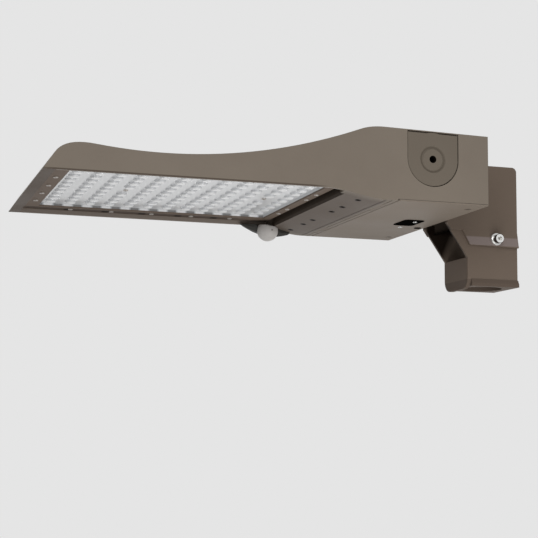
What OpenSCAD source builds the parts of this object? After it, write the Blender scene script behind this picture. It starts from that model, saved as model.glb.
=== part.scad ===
// Shoebox area light on an adjustable slip fitter, drawn level and built up from its separate pieces.
// The origin is the centre of the slip fitter's mouth, where the pole goes in, with Z up along the pole.
// The nose of the lamp points along -X and its light shines down, along -Z.
// Outlines of the lamp are written as pairs: run forward from its rear face, and height above its door.

/* [Lamp housing] */
// Length of the lamp from its rear face to the tip of its nose
lamp_l = 597; // [575:1:620]
// Width of the lamp
lamp_w = 344.4; // [330:0.1:360]
// Height of the top at the rear face
rear_h = 95; // [92:0.5:97]
// Height of the shoulder, where the flat top ends
shoulder_h = 97.4; // [95:0.1:100]
// Run from the rear face to the shoulder
shoulder_s = 150; // [140:1:160]
// Fall from the shoulder to the point where the long hollow of the top begins
shoulder_fall = 5.2; // [3:0.1:9]
// Run from the rear face to that point
hollow_start_s = 184; // [180:1:190]
// Height of the waist, the lowest point of the top
waist_h = 41.3; // [38:0.1:46]
// Run from the rear face to the waist
waist_s = 448.2; // [430:0.1:465]
// Height of the front rim above the level of the door
rim_h = 11.7; // [10:0.1:13]
// Length of the crest behind the tip of the nose
crest_l = 63.8; // [56:0.1:70]
// Length of the sloping face of the nose
nose_face_l = 14; // [11:0.1:17]
// Height of the sloping face of the nose
nose_face_h = 21.5; // [18:0.1:24]
// Width of the flat rim under the nose
nose_rim = 15.5; // [12:0.1:18]
// Thickness of the side walls
side_wall = 4.2; // [3:0.1:5]
// Thickness of the driver compartment's other walls
box_wall = 3.5; // [3:0.1:4]
// Thickness of the rear wall, which carries the bracket
rear_wall = 5.2; // [4:0.1:7]

/* [Step under the lamp] */
// Run from the rear face to where the step begins to rise
step_start_s = 144.2; // [142:0.1:150]
// Run from the rear face to where the step reaches the rim
step_end_s = 234.2; // [226:0.1:240]
// Run from the rear face to the sharp front lip of the driver compartment
lip_s = 200.2; // [198:0.1:204]
// Opening of the air slot along the lamp
slot_l = 6.5; // [5:0.1:8]
// Width of the lamp that stays solid beside each end of the air slot
slot_land = 19; // [16:0.1:24]
// Radius of the cored wells under the step
well_r = 2.8; // [2:0.1:4]
// Depth of the cored wells
well_depth = 7; // [4:0.1:8]

/* [Cooling fins] */
// Number of fins
fin_count = 25; // [15:2:29]
// Thickness of a fin
fin_t = 2.2; // [1.6:0.1:3]
// Drop of the fins below the top of the side walls
fin_drop = 2.5; // [1:0.1:5]
// Thickness of the plate that carries the fins and the light board
plate_t = 4; // [3:0.1:6]

/* [Light engine] */
// Height of the lens frame above the front rim
frame_up = 5.9; // [5:0.1:7]
// Thickness of the lens frame
frame_t = 2; // [1.6:0.1:2.4]
// Width of the frame ahead of its window
frame_nose = 22.3; // [18:0.1:28]
// Width of the frame beside its window
frame_side = 28; // [24:0.1:32]
// Width of the frame behind its window
frame_tail = 13; // [11:0.1:15]
// Thickness of the lens inside its border
lens_t = 1.6; // [1.4:0.1:2]
// Depth of the lens border, from the frame up to the gasket
border_h = 4.9; // [4:0.1:6]
// Thickness of the silicone gasket above the lens
gasket_t = 2.5; // [2.3:0.1:3]
// Thickness of the light board
board_t = 1.6; // [1:0.1:1.7]
// Size of one light package
led_size = 3.5; // [2.8:0.1:5]
// Height of one light package
led_h = 0.6; // [0.4:0.1:0.8]
// Spacing of the optics, which fill the window in rows and columns
optic_pitch = 28.2; // [26:0.1:29]
// Height that an optic stands proud of the lens
optic_h = 5.2; // [4:0.1:6]
// Radius of an optic where it leaves the lens
optic_r = 8; // [7:0.1:9]

/* [Driver door] */
// Length of the door from its rear edge to its front edge
door_l = 129.4; // [126:0.1:132]
// Thickness of the door
door_t = 1.8; // [1.6:0.1:2.4]
// Thickness of the door's gasket
door_gasket_t = 0.4; // [0.3:0.1:0.6]
// Radius of the hinge barrel
barrel_r = 3.9; // [3.4:0.1:4.2]
// Radius of the hinge pins
pin_r = 1.5; // [1.2:0.1:1.8]
// Length of each hinge knuckle of the door
knuckle_l = 50; // [40:1:60]
// Distance of each hinge knuckle's middle from the lamp's middle
knuckle_y = 110; // [100:1:115]
// Gap between the door and the hinge barrel, and width of the groove ahead of it
groove_w = 1.3; // [1:0.1:1.8]
// Depth of the groove
groove_depth = 1.2; // [0.8:0.1:1.6]
// Distance of the groove from the hinge channel's front edge
groove_pitch = 8.6; // [8:0.1:9.2]

/* [Side covers] */
// Width of a side cover, which is twice its round end's radius
cover_w = 72; // [66:0.5:76]
// Height of the round end's centre above the door
cover_h = 58.4; // [56:0.1:60]
// Run from the rear face to the cover's centre
cover_s = 81.3; // [78:0.1:84]
// Thickness of a side cover
cover_t = 4; // [3:0.1:5]
// Gap round a side cover
cover_gap = 1; // [0.6:0.1:1.4]
// Gap above a side cover
cover_top_gap = 2; // [1:0.1:3]
// Outer radius of the round groove in the cover
ring_r = 18.2; // [16:0.1:20]
// Width of the round groove
ring_w = 4.4; // [3:0.1:6]
// Depth of the round groove
ring_depth = 1.1; // [0.6:0.1:1.6]
// Radius of the hole in the middle of the cover
cover_hole_r = 4.8; // [4.6:0.1:5.2]
// Radius of the threaded hole in the housing behind the cover
yoke_thread_r = 4.25; // [4:0.05:4.4]

/* [Slip fitter] */
// Distance from the pole's axis forward to the lamp's rear face
rear_gap = 73.8; // [73:0.1:78]
// Height of the lamp's door above the slip fitter's mouth
door_z = 92; // [90:0.5:96]
// Height of the tilt bolt above the mouth
pivot_z = 68.3; // [66:0.1:70]
// Distance of the tilt bolt behind the pole's axis
pivot_x = 3.5; // [0:0.1:5]
// Radius of the pole socket
socket_r = 30.65; // [30.3:0.05:31]
// Depth of the pole socket
socket_depth = 38; // [34:0.5:40]
// Width of the collar
collar_w = 77; // [76:0.5:80]
// Length of the collar ahead of the pole's axis
collar_front = 40; // [38:0.5:42]
// Length of the collar behind the pole's axis
collar_rear = 40; // [39:0.5:41]
// Thickness of the collar's cheeks
cheek_t = 5; // [4:0.5:6]
// Radius of the collar's head round the tilt bolt
head_r = 30; // [26:0.5:32]
// Height of the flange at the mouth
flange_h = 10; // [8:0.5:14]
// Amount that the flange and the bracket's band stand proud
flange_out = 1.7; // [1:0.1:3]
// Drop of the collar's front wall below the mouth
apron_drop = 3.5; // [2:0.5:6]
// Radius of the lower corners of the collar's front wall
apron_round = 17; // [10:0.5:20]
// Thickness of the bracket's cheeks
bracket_t = 3.6; // [3:0.1:4]
// Play between the collar's cheeks and the bracket's
cheek_play = 0.35; // [0.2:0.05:0.4]
// Height of the bracket's top above the lamp's door
bracket_h = 84; // [80:0.5:88]
// Length of the bracket behind the pole's axis
bracket_rear = 38.2; // [37:0.1:39]
// Radius of the bracket's top rear corner
bracket_round = 7; // [5:0.5:9]
// Radius of the tilt bolt
bolt_r = 4; // [3.5:0.5:5]
// Radius of the tilt bolt's round head
cap_r = 6.6; // [6:0.1:8]
// Height of the tilt bolt's round head
cap_h = 8; // [6:0.5:10]

/* [Sensor] */
// Radius of the sensor's dome
dome_r = 16.3; // [14:0.1:17]
// Height of the dome's centre above the door
dome_h = 2; // [0:0.1:3]
// Thickness of the dome
dome_t = 1.5; // [1:0.1:2.5]
// Length of the sensor's base
sensor_l = 78; // [70:0.5:82]
// Width of the sensor's base
sensor_w = 30; // [26:0.5:31]

/* [Hidden] */

bronze = [0.42, 0.38, 0.35];
dark_bronze = [0.36, 0.32, 0.29];
black = [0.05, 0.05, 0.05];
stainless = [0.78, 0.78, 0.76];
$fn = 48;

// Overrun of a cut past the faces that it opens
over = 1;
// Clearance between pieces that are set into each other
fit = 0.3;
// Clearance between a pin and its bore
pin_play = 0.05;

rear_x = -rear_gap;
half_w = lamp_w / 2;
inner_w = lamp_w - 2 * side_wall;

// A point of the lamp's outline, from its run forward and its height, in the drawing's X and Z
function at(p) = [rear_x - p[0], door_z + p[1]];
function place(points) = [for (p = points) at(p)];

// Where a line through p with slope m meets a line through q with slope n
function meet(p, m, q, n) =
    let (s = (q[1] - p[1] + m * p[0] - n * q[0]) / (m - n))
    [s, p[1] + m * (s - p[0])];

// A curve from a to c that leaves and arrives along the lines to b
function bend(a, b, c, steps) = [
    for (i = [0:steps])
        let (t = i / steps)
        (1 - t) * (1 - t) * a + 2 * t * (1 - t) * b + t * t * c
];

// The hollow of the top is a parabola with its lowest point at the waist
hollow_start_h = shoulder_h - shoulder_fall;
hollow_k = (hollow_start_h - waist_h) / pow(waist_s - hollow_start_s, 2);
function hollow_h(s) = waist_h + hollow_k * pow(s - waist_s, 2);
function hollow_slope(s) = 2 * hollow_k * (s - waist_s);
function hollow(from, to, steps) = [
    for (i = [0:steps])
        let (s = from + (to - from) * i / steps)
        [s, hollow_h(s)]
];

nose_tip = [lamp_l, rim_h];
nose_turn = [lamp_l - nose_face_l, rim_h + nose_face_h];
nose_slope = -nose_face_h / nose_face_l;
crest = [lamp_l - crest_l, hollow_h(lamp_l - crest_l)];
crest_mid = meet(crest, hollow_slope(crest[0]), nose_turn, nose_slope);
hollow_start = [hollow_start_s, hollow_start_h];
shoulder = [shoulder_s, shoulder_h];
shoulder_slope = (shoulder_h - rear_h) / shoulder_s;
// Height of the flat top at the run s
function roof_h(s) = rear_h + shoulder_slope * s;
shoulder_mid = meet(hollow_start, hollow_slope(hollow_start_s), shoulder, shoulder_slope);

// The top of the lamp, from its nose back to its rear face
top_line = concat(
    [nose_tip],
    bend(nose_turn, crest_mid, crest, 10),
    hollow(crest[0] - (crest[0] - hollow_start_s) / 24, hollow_start_s, 23),
    bend(hollow_start, shoulder_mid, shoulder, 8),
    [[0, rear_h]]
);

// The underside rises from the door to the front rim as half a wave
function step_h(s) =
    rim_h * (1 - cos(180 * max(0, min(1, (s - step_start_s) / (step_end_s - step_start_s))))) / 2;
function step_line(from, to, up, steps) = [
    for (i = [0:steps])
        let (s = from + (to - from) * i / steps)
        [s, step_h(s) + up]
];
under_line = step_line(step_start_s, step_end_s, 0, 14);

slot_front_s = lip_s + slot_l;
slot_y = half_w - slot_land;

// Heights of the light engine's layers above the door
frame_z = rim_h + frame_up;
lens_z = frame_z + frame_t;
lens_top = lens_z + border_h;
seat_h = lens_top + gasket_t;
plate_top = seat_h + plate_t;
lens_under = lens_top - lens_t;

// Runs of the light engine's edges
frame_s0 = slot_front_s;
frame_s1 = lamp_l - nose_rim - fit;
window_s0 = frame_s0 + frame_tail;
window_s1 = frame_s1 - frame_nose;
window_l = window_s1 - window_s0;
window_w = inner_w - 2 * frame_side;
tail_rib = 3.5;
lens_s0 = frame_s0 + tail_rib + fit;
lens_s1 = frame_s1 - 4 * fit;
lens_w = inner_w - 2 * side_wall;
fin_s0 = slot_front_s;
fin_s1 = crest[0] + nose_face_l;
window_mid_s = (window_s0 + window_s1) / 2;
gasket_lip = 2;

// The optics' rows and columns, and the two places in the middle row that a screw takes instead
optic_cols = floor(window_l / optic_pitch);
optic_rows = floor(window_w / optic_pitch);
blank_row = floor(optic_rows / 2);
blank_cols = [floor(optic_cols / 4), optic_cols - 2];
function optic_s(i) = window_mid_s - (i - (optic_cols - 1) / 2) * optic_pitch;
function optic_y(j) = (j - (optic_rows - 1) / 2) * optic_pitch;
function is_blank(i, j) = j == blank_row && (i == blank_cols[0] || i == blank_cols[1]);

// Places of the screws round the frame
screw_line = 0.45;
nose_screw_s = window_s1 + (frame_s1 - window_s1) * screw_line;
rear_screw_s = (frame_s0 + window_s0) / 2;
side_screw_y = (window_w / 2 + lens_w / 2) / 2 + fit;
side_screw_shares = [-0.356, -0.178, 0, 0.178, 0.356];
nose_screw_shares = [-0.526, -0.175, 0.175, 0.526];
rear_screw_shares = [-0.48, -0.24, 0.24, 0.48];
screw_head_r = 3.4;
screw_head_h = 1.4;
screw_r = 1.9;
screw_l = 13;
mid_boss_r = 4;

// Places of the driver door and its hinge
door_rear_s = fit;
door_front_s = door_rear_s + door_l;
barrel_s = door_front_s + barrel_r + groove_w;
barrel_h = barrel_r + 0.1 * door_t;
channel_r = barrel_r + fit;
// The door's upper front edge swings round the hinge, past the ends of the side walls
door_swing_r = norm([barrel_s - door_front_s, barrel_h - door_t]);
door_end_s = barrel_s - sqrt(door_swing_r * door_swing_r - barrel_h * barrel_h) + fit;
seal_h = door_t + door_gasket_t;
hinge_bar_s = barrel_s + barrel_r + 3 * groove_w;
hinge_bar_h = barrel_h + channel_r + door_t;
ledge_s = door_front_s - side_wall;
groove_s = barrel_s + channel_r + groove_pitch;
door_rim_h = 9;
door_rim_t = 2.6;
door_rim_gap = 1.2;
door_screw_s = 14.5;
door_screw_y = 138.2;
door_screw_r = 4.5;
door_boss_r = 8;
door_boss_h = 14;
door_screw_reach = 4;
blind_wall = 2;

box_s0 = rear_wall;
box_s1 = lip_s - box_wall;

// Places on the rear wall
wire_hole_r = 14;
wire_hole_h = 45;
bracket_bolt_r = 3;
bracket_bolt_y = 27;
bracket_bolt_h = [20, 68];
bracket_front_t = 5;
bracket_gasket_t = 0.8;

// Surge protector, driver and terminal block, hung from the roof and from the rear wall
boss_r = 5;
boss_drop = 7.2;
driver_w = 62;
driver_h = 37;
driver_s = 78;
driver_foot_t = 3;
driver_foot_l = 14;
driver_top = min(roof_h(driver_s - driver_w / 2), roof_h(driver_s + driver_w / 2)) - box_wall - boss_drop;
surge_s = 78;
surge_l = 44;
surge_w = 34;
surge_h = 24;
surge_inset = 43;
surge_y = inner_w / 2 - surge_inset;
driver_inset = 52.5;
driver_gap = 8.5;
driver_y0 = driver_inset - inner_w / 2;
driver_y1 = surge_y - surge_w / 2 - driver_gap;
driver_l = driver_y1 - driver_y0;
driver_y = (driver_y0 + driver_y1) / 2;
terminal_l = 18;
terminal_w = 50;
terminal_h = 22;
terminal_low = 26;
terminal_y = 52;
terminal_pitch = 14;
terminal_hole_r = 3;
grommet_lip = 3;

// Selector opening in the door
port_l = 31;
port_w = 51;
port_s = 43.5;
port_y = -6;
port_round = 7;
port_proud = 0.8;
module_wall = 2;
module_s0 = 25.5;
module_s1 = 57.5;
module_w = 66;
module_h = 12;
module_y = 6.5;
selector_screw_l = 8;
selector_screw_s = 40;
selector_screw_y = [-20.6, 33.7];
vent_s = 10.8;
vent_y = 36.7;
vent_r = 5.2;
vent_stem_share = 0.7;
vent_stem = 3;

// Sensor under the far edge, beside the slot's end
sensor_s = 207.2;
sensor_edge = 0.5;
sensor_y = half_w - dome_r - sensor_edge;
dome_rim = 1.2;
dome_top = dome_h + dome_rim;
// The base's lower edge: places as shares of its length, and depths as shares of the dome's radius
sensor_place_shares = [0.53, 0.47, 0.24, -0.03, -0.16, -0.35, -0.47, -0.475];
sensor_depth_shares = [0.72, 0.52, 0.02, -0.34, -0.35, -0.21, -0.07, 0.72];

// Slip fitter heights and places, above the mouth
cheek_w = collar_w / 2;
bracket_in = cheek_w + cheek_play;
bracket_out = bracket_in + bracket_t;
bracket_x = rear_x + bracket_gasket_t;
bracket_top = door_z + bracket_h;
band_y = bracket_out + flange_out;
band_top = 80;
band_edge_share = 0.12;
flange_edge_share = 0.45;
flange_step_share = 0.35;
front_wall_top = 41.5;
rear_wall_top = 58;
notch_z = 80;
notch_x = -49;
step_x = -38;
step_z = 59.2;
step_fall = 2;
rear_wall_up = 42.5;
bracket_wall_z = pivot_z + rear_wall_up;
head_point_x = -66;
head_point_z = 79.5;
stop_l = 8;
apron_t = 6;
ledge_w = 4.5;
set_screw_z = [15, 30];
set_screw_r = 4;
wall_bolt_past = 2;
wall_nut_h = 4;
wall_nut_r = 5.8;
seat_r = 9.6;
washer_t = 1.6;
washer_r = 8.7;
spring_t = 2.2;
spring_r = 6.9;
spring_gap = 1.2;
cap_edge = 0.5;
socket_hex_r = 3.5;
socket_hex_depth = 4;
nut_h = 6.5;
nut_r = 7.5;
bolt_past = 3;

// Extrudes an outline drawn in X and Z across the width w, centred on y
module across(w, y = 0) {
    translate([0, y, 0])
    rotate([90, 0, 0])
    linear_extrude(w, center = true)
    children();
}

// A block between two runs s0 and s1, of the width w round y, between two heights h0 and h1
module block(s0, s1, w, h0, h1, y = 0) {
    translate([rear_x - s1, y - w / 2, door_z + h0])
    cube([s1 - s0, w, h1 - h0]);
}

// A flat ring: a block with a smaller one cut out of it
module frame_block(s0, s1, w, in_s0, in_s1, in_w, h0, h1) {
    difference() {
        block(s0, s1, w, h0, h1);
        block(in_s0, in_s1, in_w, h0 - over, h1 + over);
    }
}

// A cylinder along Z at the run s and the side place y, between two heights
module post(s, y, r, h0, h1) {
    translate([rear_x - s, y, door_z + h0])
    cylinder(h = h1 - h0, r = r);
}

// A cylinder along Y between y0 and y1, at the run s and the height h
module cross_rod(s, h, r, y0, y1) {
    translate([rear_x - s, y1, door_z + h])
    rotate([90, 0, 0])
    cylinder(h = y1 - y0, r = r);
}

// A cylinder on a side cover's centre line, between two depths below the lamp's side
module side_rod(side, r, d0, d1) {
    y0 = side * (half_w - d0);
    y1 = side * (half_w - d1);
    cross_rod(cover_s, cover_h, r, min(y0, y1), max(y0, y1));
}

// A cylinder along X from x0 to x1, at y and z
module long_rod(x0, x1, y, z, r) {
    translate([x0, y, z])
    rotate([0, 90, 0])
    cylinder(h = x1 - x0, r = r);
}

// A block with round upright corners, centred on x and y and standing on z0
module round_block(x, y, l, w, r, z0, z1) {
    translate([x, y, z0])
    linear_extrude(z1 - z0)
    union() {
        square([l - 2 * r, w], center = true);
        square([l, w - 2 * r], center = true);
        for (i = [-1, 1], j = [-1, 1])
            translate([i * (l / 2 - r), j * (w / 2 - r)])
            circle(r);
    }
}

// The solid side outline of the lamp
module lamp_outline() {
    polygon(place(concat(top_line, [[0, 0]], under_line)));
}

// The driver compartment's inside, open at the bottom over the door
module compartment_outline() {
    ceiling = concat(
        [[box_s1, hollow_h(box_s1) - box_wall]],
        [for (p = bend(hollow_start, shoulder_mid, shoulder, 8)) [p[0], p[1] - box_wall]],
        [[box_s0, rear_h - box_wall]]
    );
    floor_line = step_line(hinge_bar_s, box_s1, box_wall, 8);
    polygon(place(concat(
        ceiling,
        [[box_s0, -over], [ledge_s, -over], [ledge_s, hinge_bar_h], [hinge_bar_s, hinge_bar_h]],
        floor_line
    )));
}

// The fin outline, from the plate up to just below the side walls' top
module fin_outline() {
    low = plate_top - plate_t / 2;
    fin_top = [for (p = hollow(fin_s1, fin_s0, 12)) [p[0], p[1] - fin_drop]];
    polygon(place(concat([[fin_s1, low]], fin_top, [[fin_s0, low]])));
}

// The open space above the plate, where the fins stand
module fin_space_outline() {
    high = shoulder_h + over;
    polygon(place([[fin_s1, plate_top], [fin_s1, high], [lip_s, high], [lip_s, plate_top]]));
}

// The outline of a side cover, grown by more all round, with its top lower than the lamp's by drop
module cover_outline(more, drop, shift = 0) {
    r = cover_w / 2 + more;
    s0 = cover_s - shift - r;
    s1 = cover_s - shift + r;
    translate(at([cover_s - shift, cover_h]))
    circle(r);
    polygon(place([[s0, cover_h], [s0, roof_h(s0) - drop], [s1, roof_h(s1) - drop], [s1, cover_h]]));
}

cover_lip = 1.2;
cover_shift = cover_gap / 2;
recess_depth = cover_t + fit;
pad_depth = recess_depth + box_wall;
yoke_boss_r = 11;
yoke_boss_depth = 24;
yoke_hole_depth = yoke_boss_depth - box_wall;

// The places of the cored wells under the step, as shares of half the width
well_shares = [-0.81, -0.47, -0.23, 0.23, 0.47, 0.81];
well_s = 175.2;

module well_posts(r, h0, h1) {
    for (share = well_shares)
        post(well_s, share * half_w, r, h0, h1);
}

// Bosses that reach from the driver and the surge protector up into the roof
module roof_bosses() {
    foot = (driver_l - driver_foot_l) / 2;
    for (y = [driver_y - foot, driver_y + foot])
        post(driver_s, y, boss_r, driver_top, max(rear_h, shoulder_h));
    post(surge_s, surge_y, boss_r, driver_top, max(rear_h, shoulder_h));
}

module housing_shell() {
    difference() {
        across(lamp_w) lamp_outline();
        across(inner_w) compartment_outline();
        across(inner_w) fin_space_outline();
    }
}

module housing_add() {
    for (i = [0:fin_count - 1])
        across(fin_t, (i - (fin_count - 1) / 2) * inner_w / (fin_count + 1))
        fin_outline();
    for (side = [-1, 1]) {
        across(pad_depth, side * (half_w - pad_depth / 2))
        cover_outline(cover_gap + box_wall, 0);
        side_rod(side, yoke_boss_r, recess_depth, yoke_boss_depth);
    }
    roof_bosses();
    well_posts(well_r + blind_wall, step_h(well_s) + box_wall / 2, step_h(well_s) + well_depth + blind_wall);
    for (side = [-1, 1]) {
        y = side * door_screw_y;
        post(door_screw_s, y, door_boss_r, seal_h, seal_h + door_boss_h);
        block(rear_wall / 2, door_screw_s, door_boss_r, seal_h, seal_h + door_boss_h, y);
    }
}

module housing_cut() {
    // Pockets for the lens frame, and for the lens above it
    block(slot_front_s - over, lamp_l - nose_rim, inner_w, -over, lens_z + fit);
    block(frame_s0 + tail_rib, lens_s1 + fit, lens_w + 2 * fit, 0, seat_h);
    // Air slot
    block(lip_s, slot_front_s, 2 * slot_y, -over, plate_top + over);
    // Room for the door, its hinge barrel and the grooves ahead of it
    block(-over, door_front_s + groove_w / 2, lamp_w + 2 * over, -over, seal_h);
    for (side = [-1, 1])
        block(0, door_end_s, side_wall + over, -over, seal_h, side * (half_w - side_wall / 2 + over / 2));
    difference() {
        union() {
            cross_rod(barrel_s, barrel_h, channel_r, -inner_w / 2, inner_w / 2);
            block(door_front_s, barrel_s + channel_r, inner_w, -over, barrel_h);
        }
        hinge_knuckles(false);
    }
    block(groove_s - groove_w / 2, groove_s + groove_w / 2, inner_w, -over, groove_depth);
    for (side = [-1, 1])
        cross_rod(
            barrel_s, barrel_h, pin_r,
            side * knuckle_y - knuckle_l, side * knuckle_y + knuckle_l
        );
    // Side recesses and the threaded holes behind them
    for (side = [-1, 1]) {
        across(recess_depth + over, side * (half_w - recess_depth / 2 + over / 2))
        cover_outline(cover_gap, cover_lip, cover_shift);
        side_rod(side, yoke_thread_r, -over, yoke_hole_depth);
    }
    // Holes in the rear wall and the cored wells
    long_rod(rear_x - rear_wall - over, rear_x + over, 0, door_z + wire_hole_h, wire_hole_r);
    for (y = [-1, 1], h = bracket_bolt_h)
        long_rod(rear_x - rear_wall - over, rear_x + over, y * bracket_bolt_y, door_z + h, bracket_bolt_r);
    well_posts(well_r, -over, step_h(well_s) + well_depth);
    // Screw holes for the frame, the door and the driver
    frame_screw_posts(screw_r, lens_z - over, seat_h + plate_t * 0.75);
    mid_screw_posts(screw_r, seat_h - over, seat_h + plate_t * 0.75);
    for (side = [-1, 1])
        post(
            door_screw_s, side * door_screw_y, screw_r + 2 * fit,
            seal_h - over, seal_h + door_boss_h - blind_wall
        );
}

// The barrel of the hinge: the door's two knuckles, or what is left for the housing
module hinge_knuckles(of_door) {
    play = of_door ? fit / 2 : -fit / 2;
    if (of_door) {
        for (side = [-1, 1])
            cross_rod(
                barrel_s, barrel_h, barrel_r,
                side * knuckle_y - knuckle_l / 2 + play, side * knuckle_y + knuckle_l / 2 - play
            );
    } else {
        gap_in = knuckle_y - knuckle_l / 2 + play;
        gap_out = knuckle_y + knuckle_l / 2 - play;
        barrel_part(-gap_in, gap_in);
        barrel_part(gap_out, inner_w / 2 + over);
        barrel_part(-inner_w / 2 - over, -gap_out);
    }
}

// A fixed length of the barrel, flat below, with the web that joins it to the housing above it
module barrel_part(y0, y1) {
    cross_rod(barrel_s, barrel_h, barrel_r, y0, y1);
    block(
        barrel_s - barrel_r, barrel_s + channel_r - groove_w, y1 - y0,
        0, barrel_h, (y0 + y1) / 2
    );
    block(
        barrel_s, barrel_s + channel_r + over, y1 - y0,
        groove_depth, hinge_bar_h, (y0 + y1) / 2
    );
}

module frame_screw_posts(r, h0, h1) {
    for (share = nose_screw_shares)
        post(nose_screw_s, share * half_w, r, h0, h1);
    for (share = rear_screw_shares)
        post(rear_screw_s, share * half_w, r, h0, h1);
    for (share = side_screw_shares, side = [-1, 1])
        post(window_mid_s + share * window_l, side * side_screw_y, r, h0, h1);
}

// The two screws in the blank places among the optics
module mid_screw_posts(r, h0, h1) {
    for (i = blank_cols)
        post(optic_s(i), optic_y(blank_row), r, h0, h1);
}

module housing() {
    color(bronze)
    difference() {
        union() {
            housing_shell();
            intersection() {
                housing_add();
                across(lamp_w) lamp_outline();
            }
        }
        housing_cut();
    }
}

module lens_frame() {
    color(dark_bronze)
    difference() {
        frame_block(
            frame_s0, frame_s1, inner_w - 2 * fit,
            window_s0, window_s1, window_w, frame_z, lens_z
        );
        frame_screw_posts(screw_r + fit, frame_z - over, lens_z + over);
    }
}

// The optics stand in a grid, each a cap of a ball
module optics() {
    ball_r = (optic_r * optic_r + optic_h * optic_h) / (2 * optic_h);
    for (i = [0:optic_cols - 1], j = [0:optic_rows - 1])
        if (!is_blank(i, j))
            translate([rear_x - optic_s(i), optic_y(j), door_z + lens_under - optic_h + ball_r])
            sphere(ball_r, $fn = 24);
}

module lens_plate() {
    color([0.86, 0.88, 0.9, 0.6])
    difference() {
        union() {
            block(lens_s0, lens_s1, lens_w, lens_z, lens_top);
            mid_screw_posts(mid_boss_r, lens_under, seat_h - board_t);
        }
        difference() {
            block(window_s0, window_s1, window_w, lens_z - over, lens_under);
            optics();
        }
        frame_screw_posts(screw_r + fit, lens_z - over, lens_top + over);
        mid_screw_posts(screw_r + fit, lens_z, seat_h);
    }
}

module lens_gasket() {
    color([0.2, 0.2, 0.2])
    difference() {
        frame_block(
            lens_s0, lens_s1, lens_w,
            window_s0 - gasket_lip, window_s1 + gasket_lip, window_w + 2 * gasket_lip, lens_top, seat_h
        );
        frame_screw_posts(screw_r + fit, lens_top - over, seat_h + over);
    }
}

module led_board() {
    color([0.92, 0.93, 0.93])
    difference() {
        block(window_s0, window_s1, window_w, seat_h - board_t, seat_h);
        mid_screw_posts(screw_r + fit, lens_top, seat_h + over);
    }
}

module led_packages() {
    color([0.95, 0.85, 0.45])
    for (i = [0:optic_cols - 1], j = [0:optic_rows - 1])
        if (!is_blank(i, j))
            block(
                optic_s(i) - led_size / 2, optic_s(i) + led_size / 2, led_size,
                seat_h - board_t - led_h, seat_h - board_t, optic_y(j)
            );
}

module frame_screws() {
    color(stainless) {
        frame_screw_posts(screw_head_r, frame_z - screw_head_h, frame_z);
        frame_screw_posts(screw_r, frame_z - screw_head_h / 2, frame_z + screw_l - screw_head_h);
        mid_screw_posts(screw_head_r, lens_under - screw_head_h, lens_under);
        mid_screw_posts(screw_r, lens_under - screw_head_h / 2, seat_h + plate_t / 2);
    }
}

module driver_door() {
    rim_s0 = box_s0 + door_rim_gap;
    rim_s1 = ledge_s - door_rim_gap;
    rim_w = inner_w - 2 * door_rim_gap;
    color(bronze)
    difference() {
        union() {
            block(door_rear_s, door_front_s, lamp_w, 0, door_t);
            frame_block(
                rim_s0, rim_s1, rim_w,
                rim_s0 + door_rim_t, rim_s1 - door_rim_t, rim_w - 2 * door_rim_t, door_t / 2, door_rim_h
            );
            for (side = [-1, 1]) {
                y = side * knuckle_y;
                block(door_front_s - over, barrel_s, knuckle_l - fit, barrel_h - barrel_r, door_t, y);
                block(door_front_s - over, barrel_s - groove_w, knuckle_l - fit, 0, door_t, y);
            }
            hinge_knuckles(true);
        }
        for (side = [-1, 1]) {
            cross_rod(
                barrel_s, barrel_h, pin_r + pin_play,
                side * knuckle_y - knuckle_l, side * knuckle_y + knuckle_l
            );
            post(door_screw_s, side * door_screw_y, screw_r + fit, -over, door_rim_h + over);
            post(door_screw_s, side * door_screw_y, door_screw_r + fit, -over, door_t / 2);
            post(door_screw_s, side * door_screw_y, door_boss_r + door_rim_gap, door_t, door_rim_h + over);
            block(
                0, door_screw_s, door_boss_r + 2 * door_rim_gap, door_t, door_rim_h + over,
                side * door_screw_y
            );
        }
        round_block(
            rear_x - port_s, port_y, port_l - 2 * module_wall, port_w - 2 * module_wall,
            port_round - module_wall, door_z - over, door_z + door_t + over
        );
        // The line of the door's front edge runs on across its knuckles
        block(door_front_s, door_front_s + groove_w, lamp_w, -over, door_t / 3);
        for (y = selector_screw_y)
            post(selector_screw_s, y, screw_r + fit, -over, door_t + over);
        post(vent_s, vent_y, vent_r * vent_stem_share, -over, door_rim_h + over);
    }
}

module door_gasket() {
    inset = 0.5;
    color(black)
    difference() {
        block(
            door_rear_s + inset, door_front_s - inset, lamp_w - 2 * inset, door_t, seal_h
        );
        block(
            box_s0 + fit, ledge_s - fit, inner_w - 2 * fit, door_t - over, seal_h + over
        );
    }
}

module door_screws() {
    color(stainless)
    for (side = [-1, 1]) {
        y = side * door_screw_y;
        post(door_screw_s, y, door_screw_r, door_t * 0.1, door_t / 2);
        post(door_screw_s, y, screw_r, door_t * 0.3, seal_h + door_screw_reach);
    }
}

module hinge_pins() {
    color(stainless)
    for (side = [-1, 1])
        cross_rod(
            barrel_s, barrel_h, pin_r,
            side * knuckle_y - knuckle_l * 0.8, side * knuckle_y + knuckle_l * 0.8
        );
}

module led_driver() {
    body_w = driver_w;
    color([0.75, 0.76, 0.77])
    difference() {
        union() {
            block(
                driver_s - body_w / 2, driver_s + body_w / 2, driver_l - 2 * driver_foot_l,
                driver_top - driver_h, driver_top, driver_y
            );
            block(
                driver_s - body_w / 4, driver_s + body_w / 4, driver_l,
                driver_top - driver_foot_t, driver_top, driver_y
            );
        }
        driver_screw_posts(screw_r + fit, driver_top - driver_foot_t - over, driver_top + over);
    }
}

module driver_screw_posts(r, h0, h1) {
    for (side = [-1, 1])
        post(driver_s, driver_y + side * (driver_l - driver_foot_l) / 2, r, h0, h1);
}

module driver_screws() {
    low = driver_top - driver_foot_t;
    color(stainless) {
        driver_screw_posts(screw_head_r, low - 2 * screw_head_h, low);
        driver_screw_posts(screw_r, low - screw_head_h, driver_top);
    }
}

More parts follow.
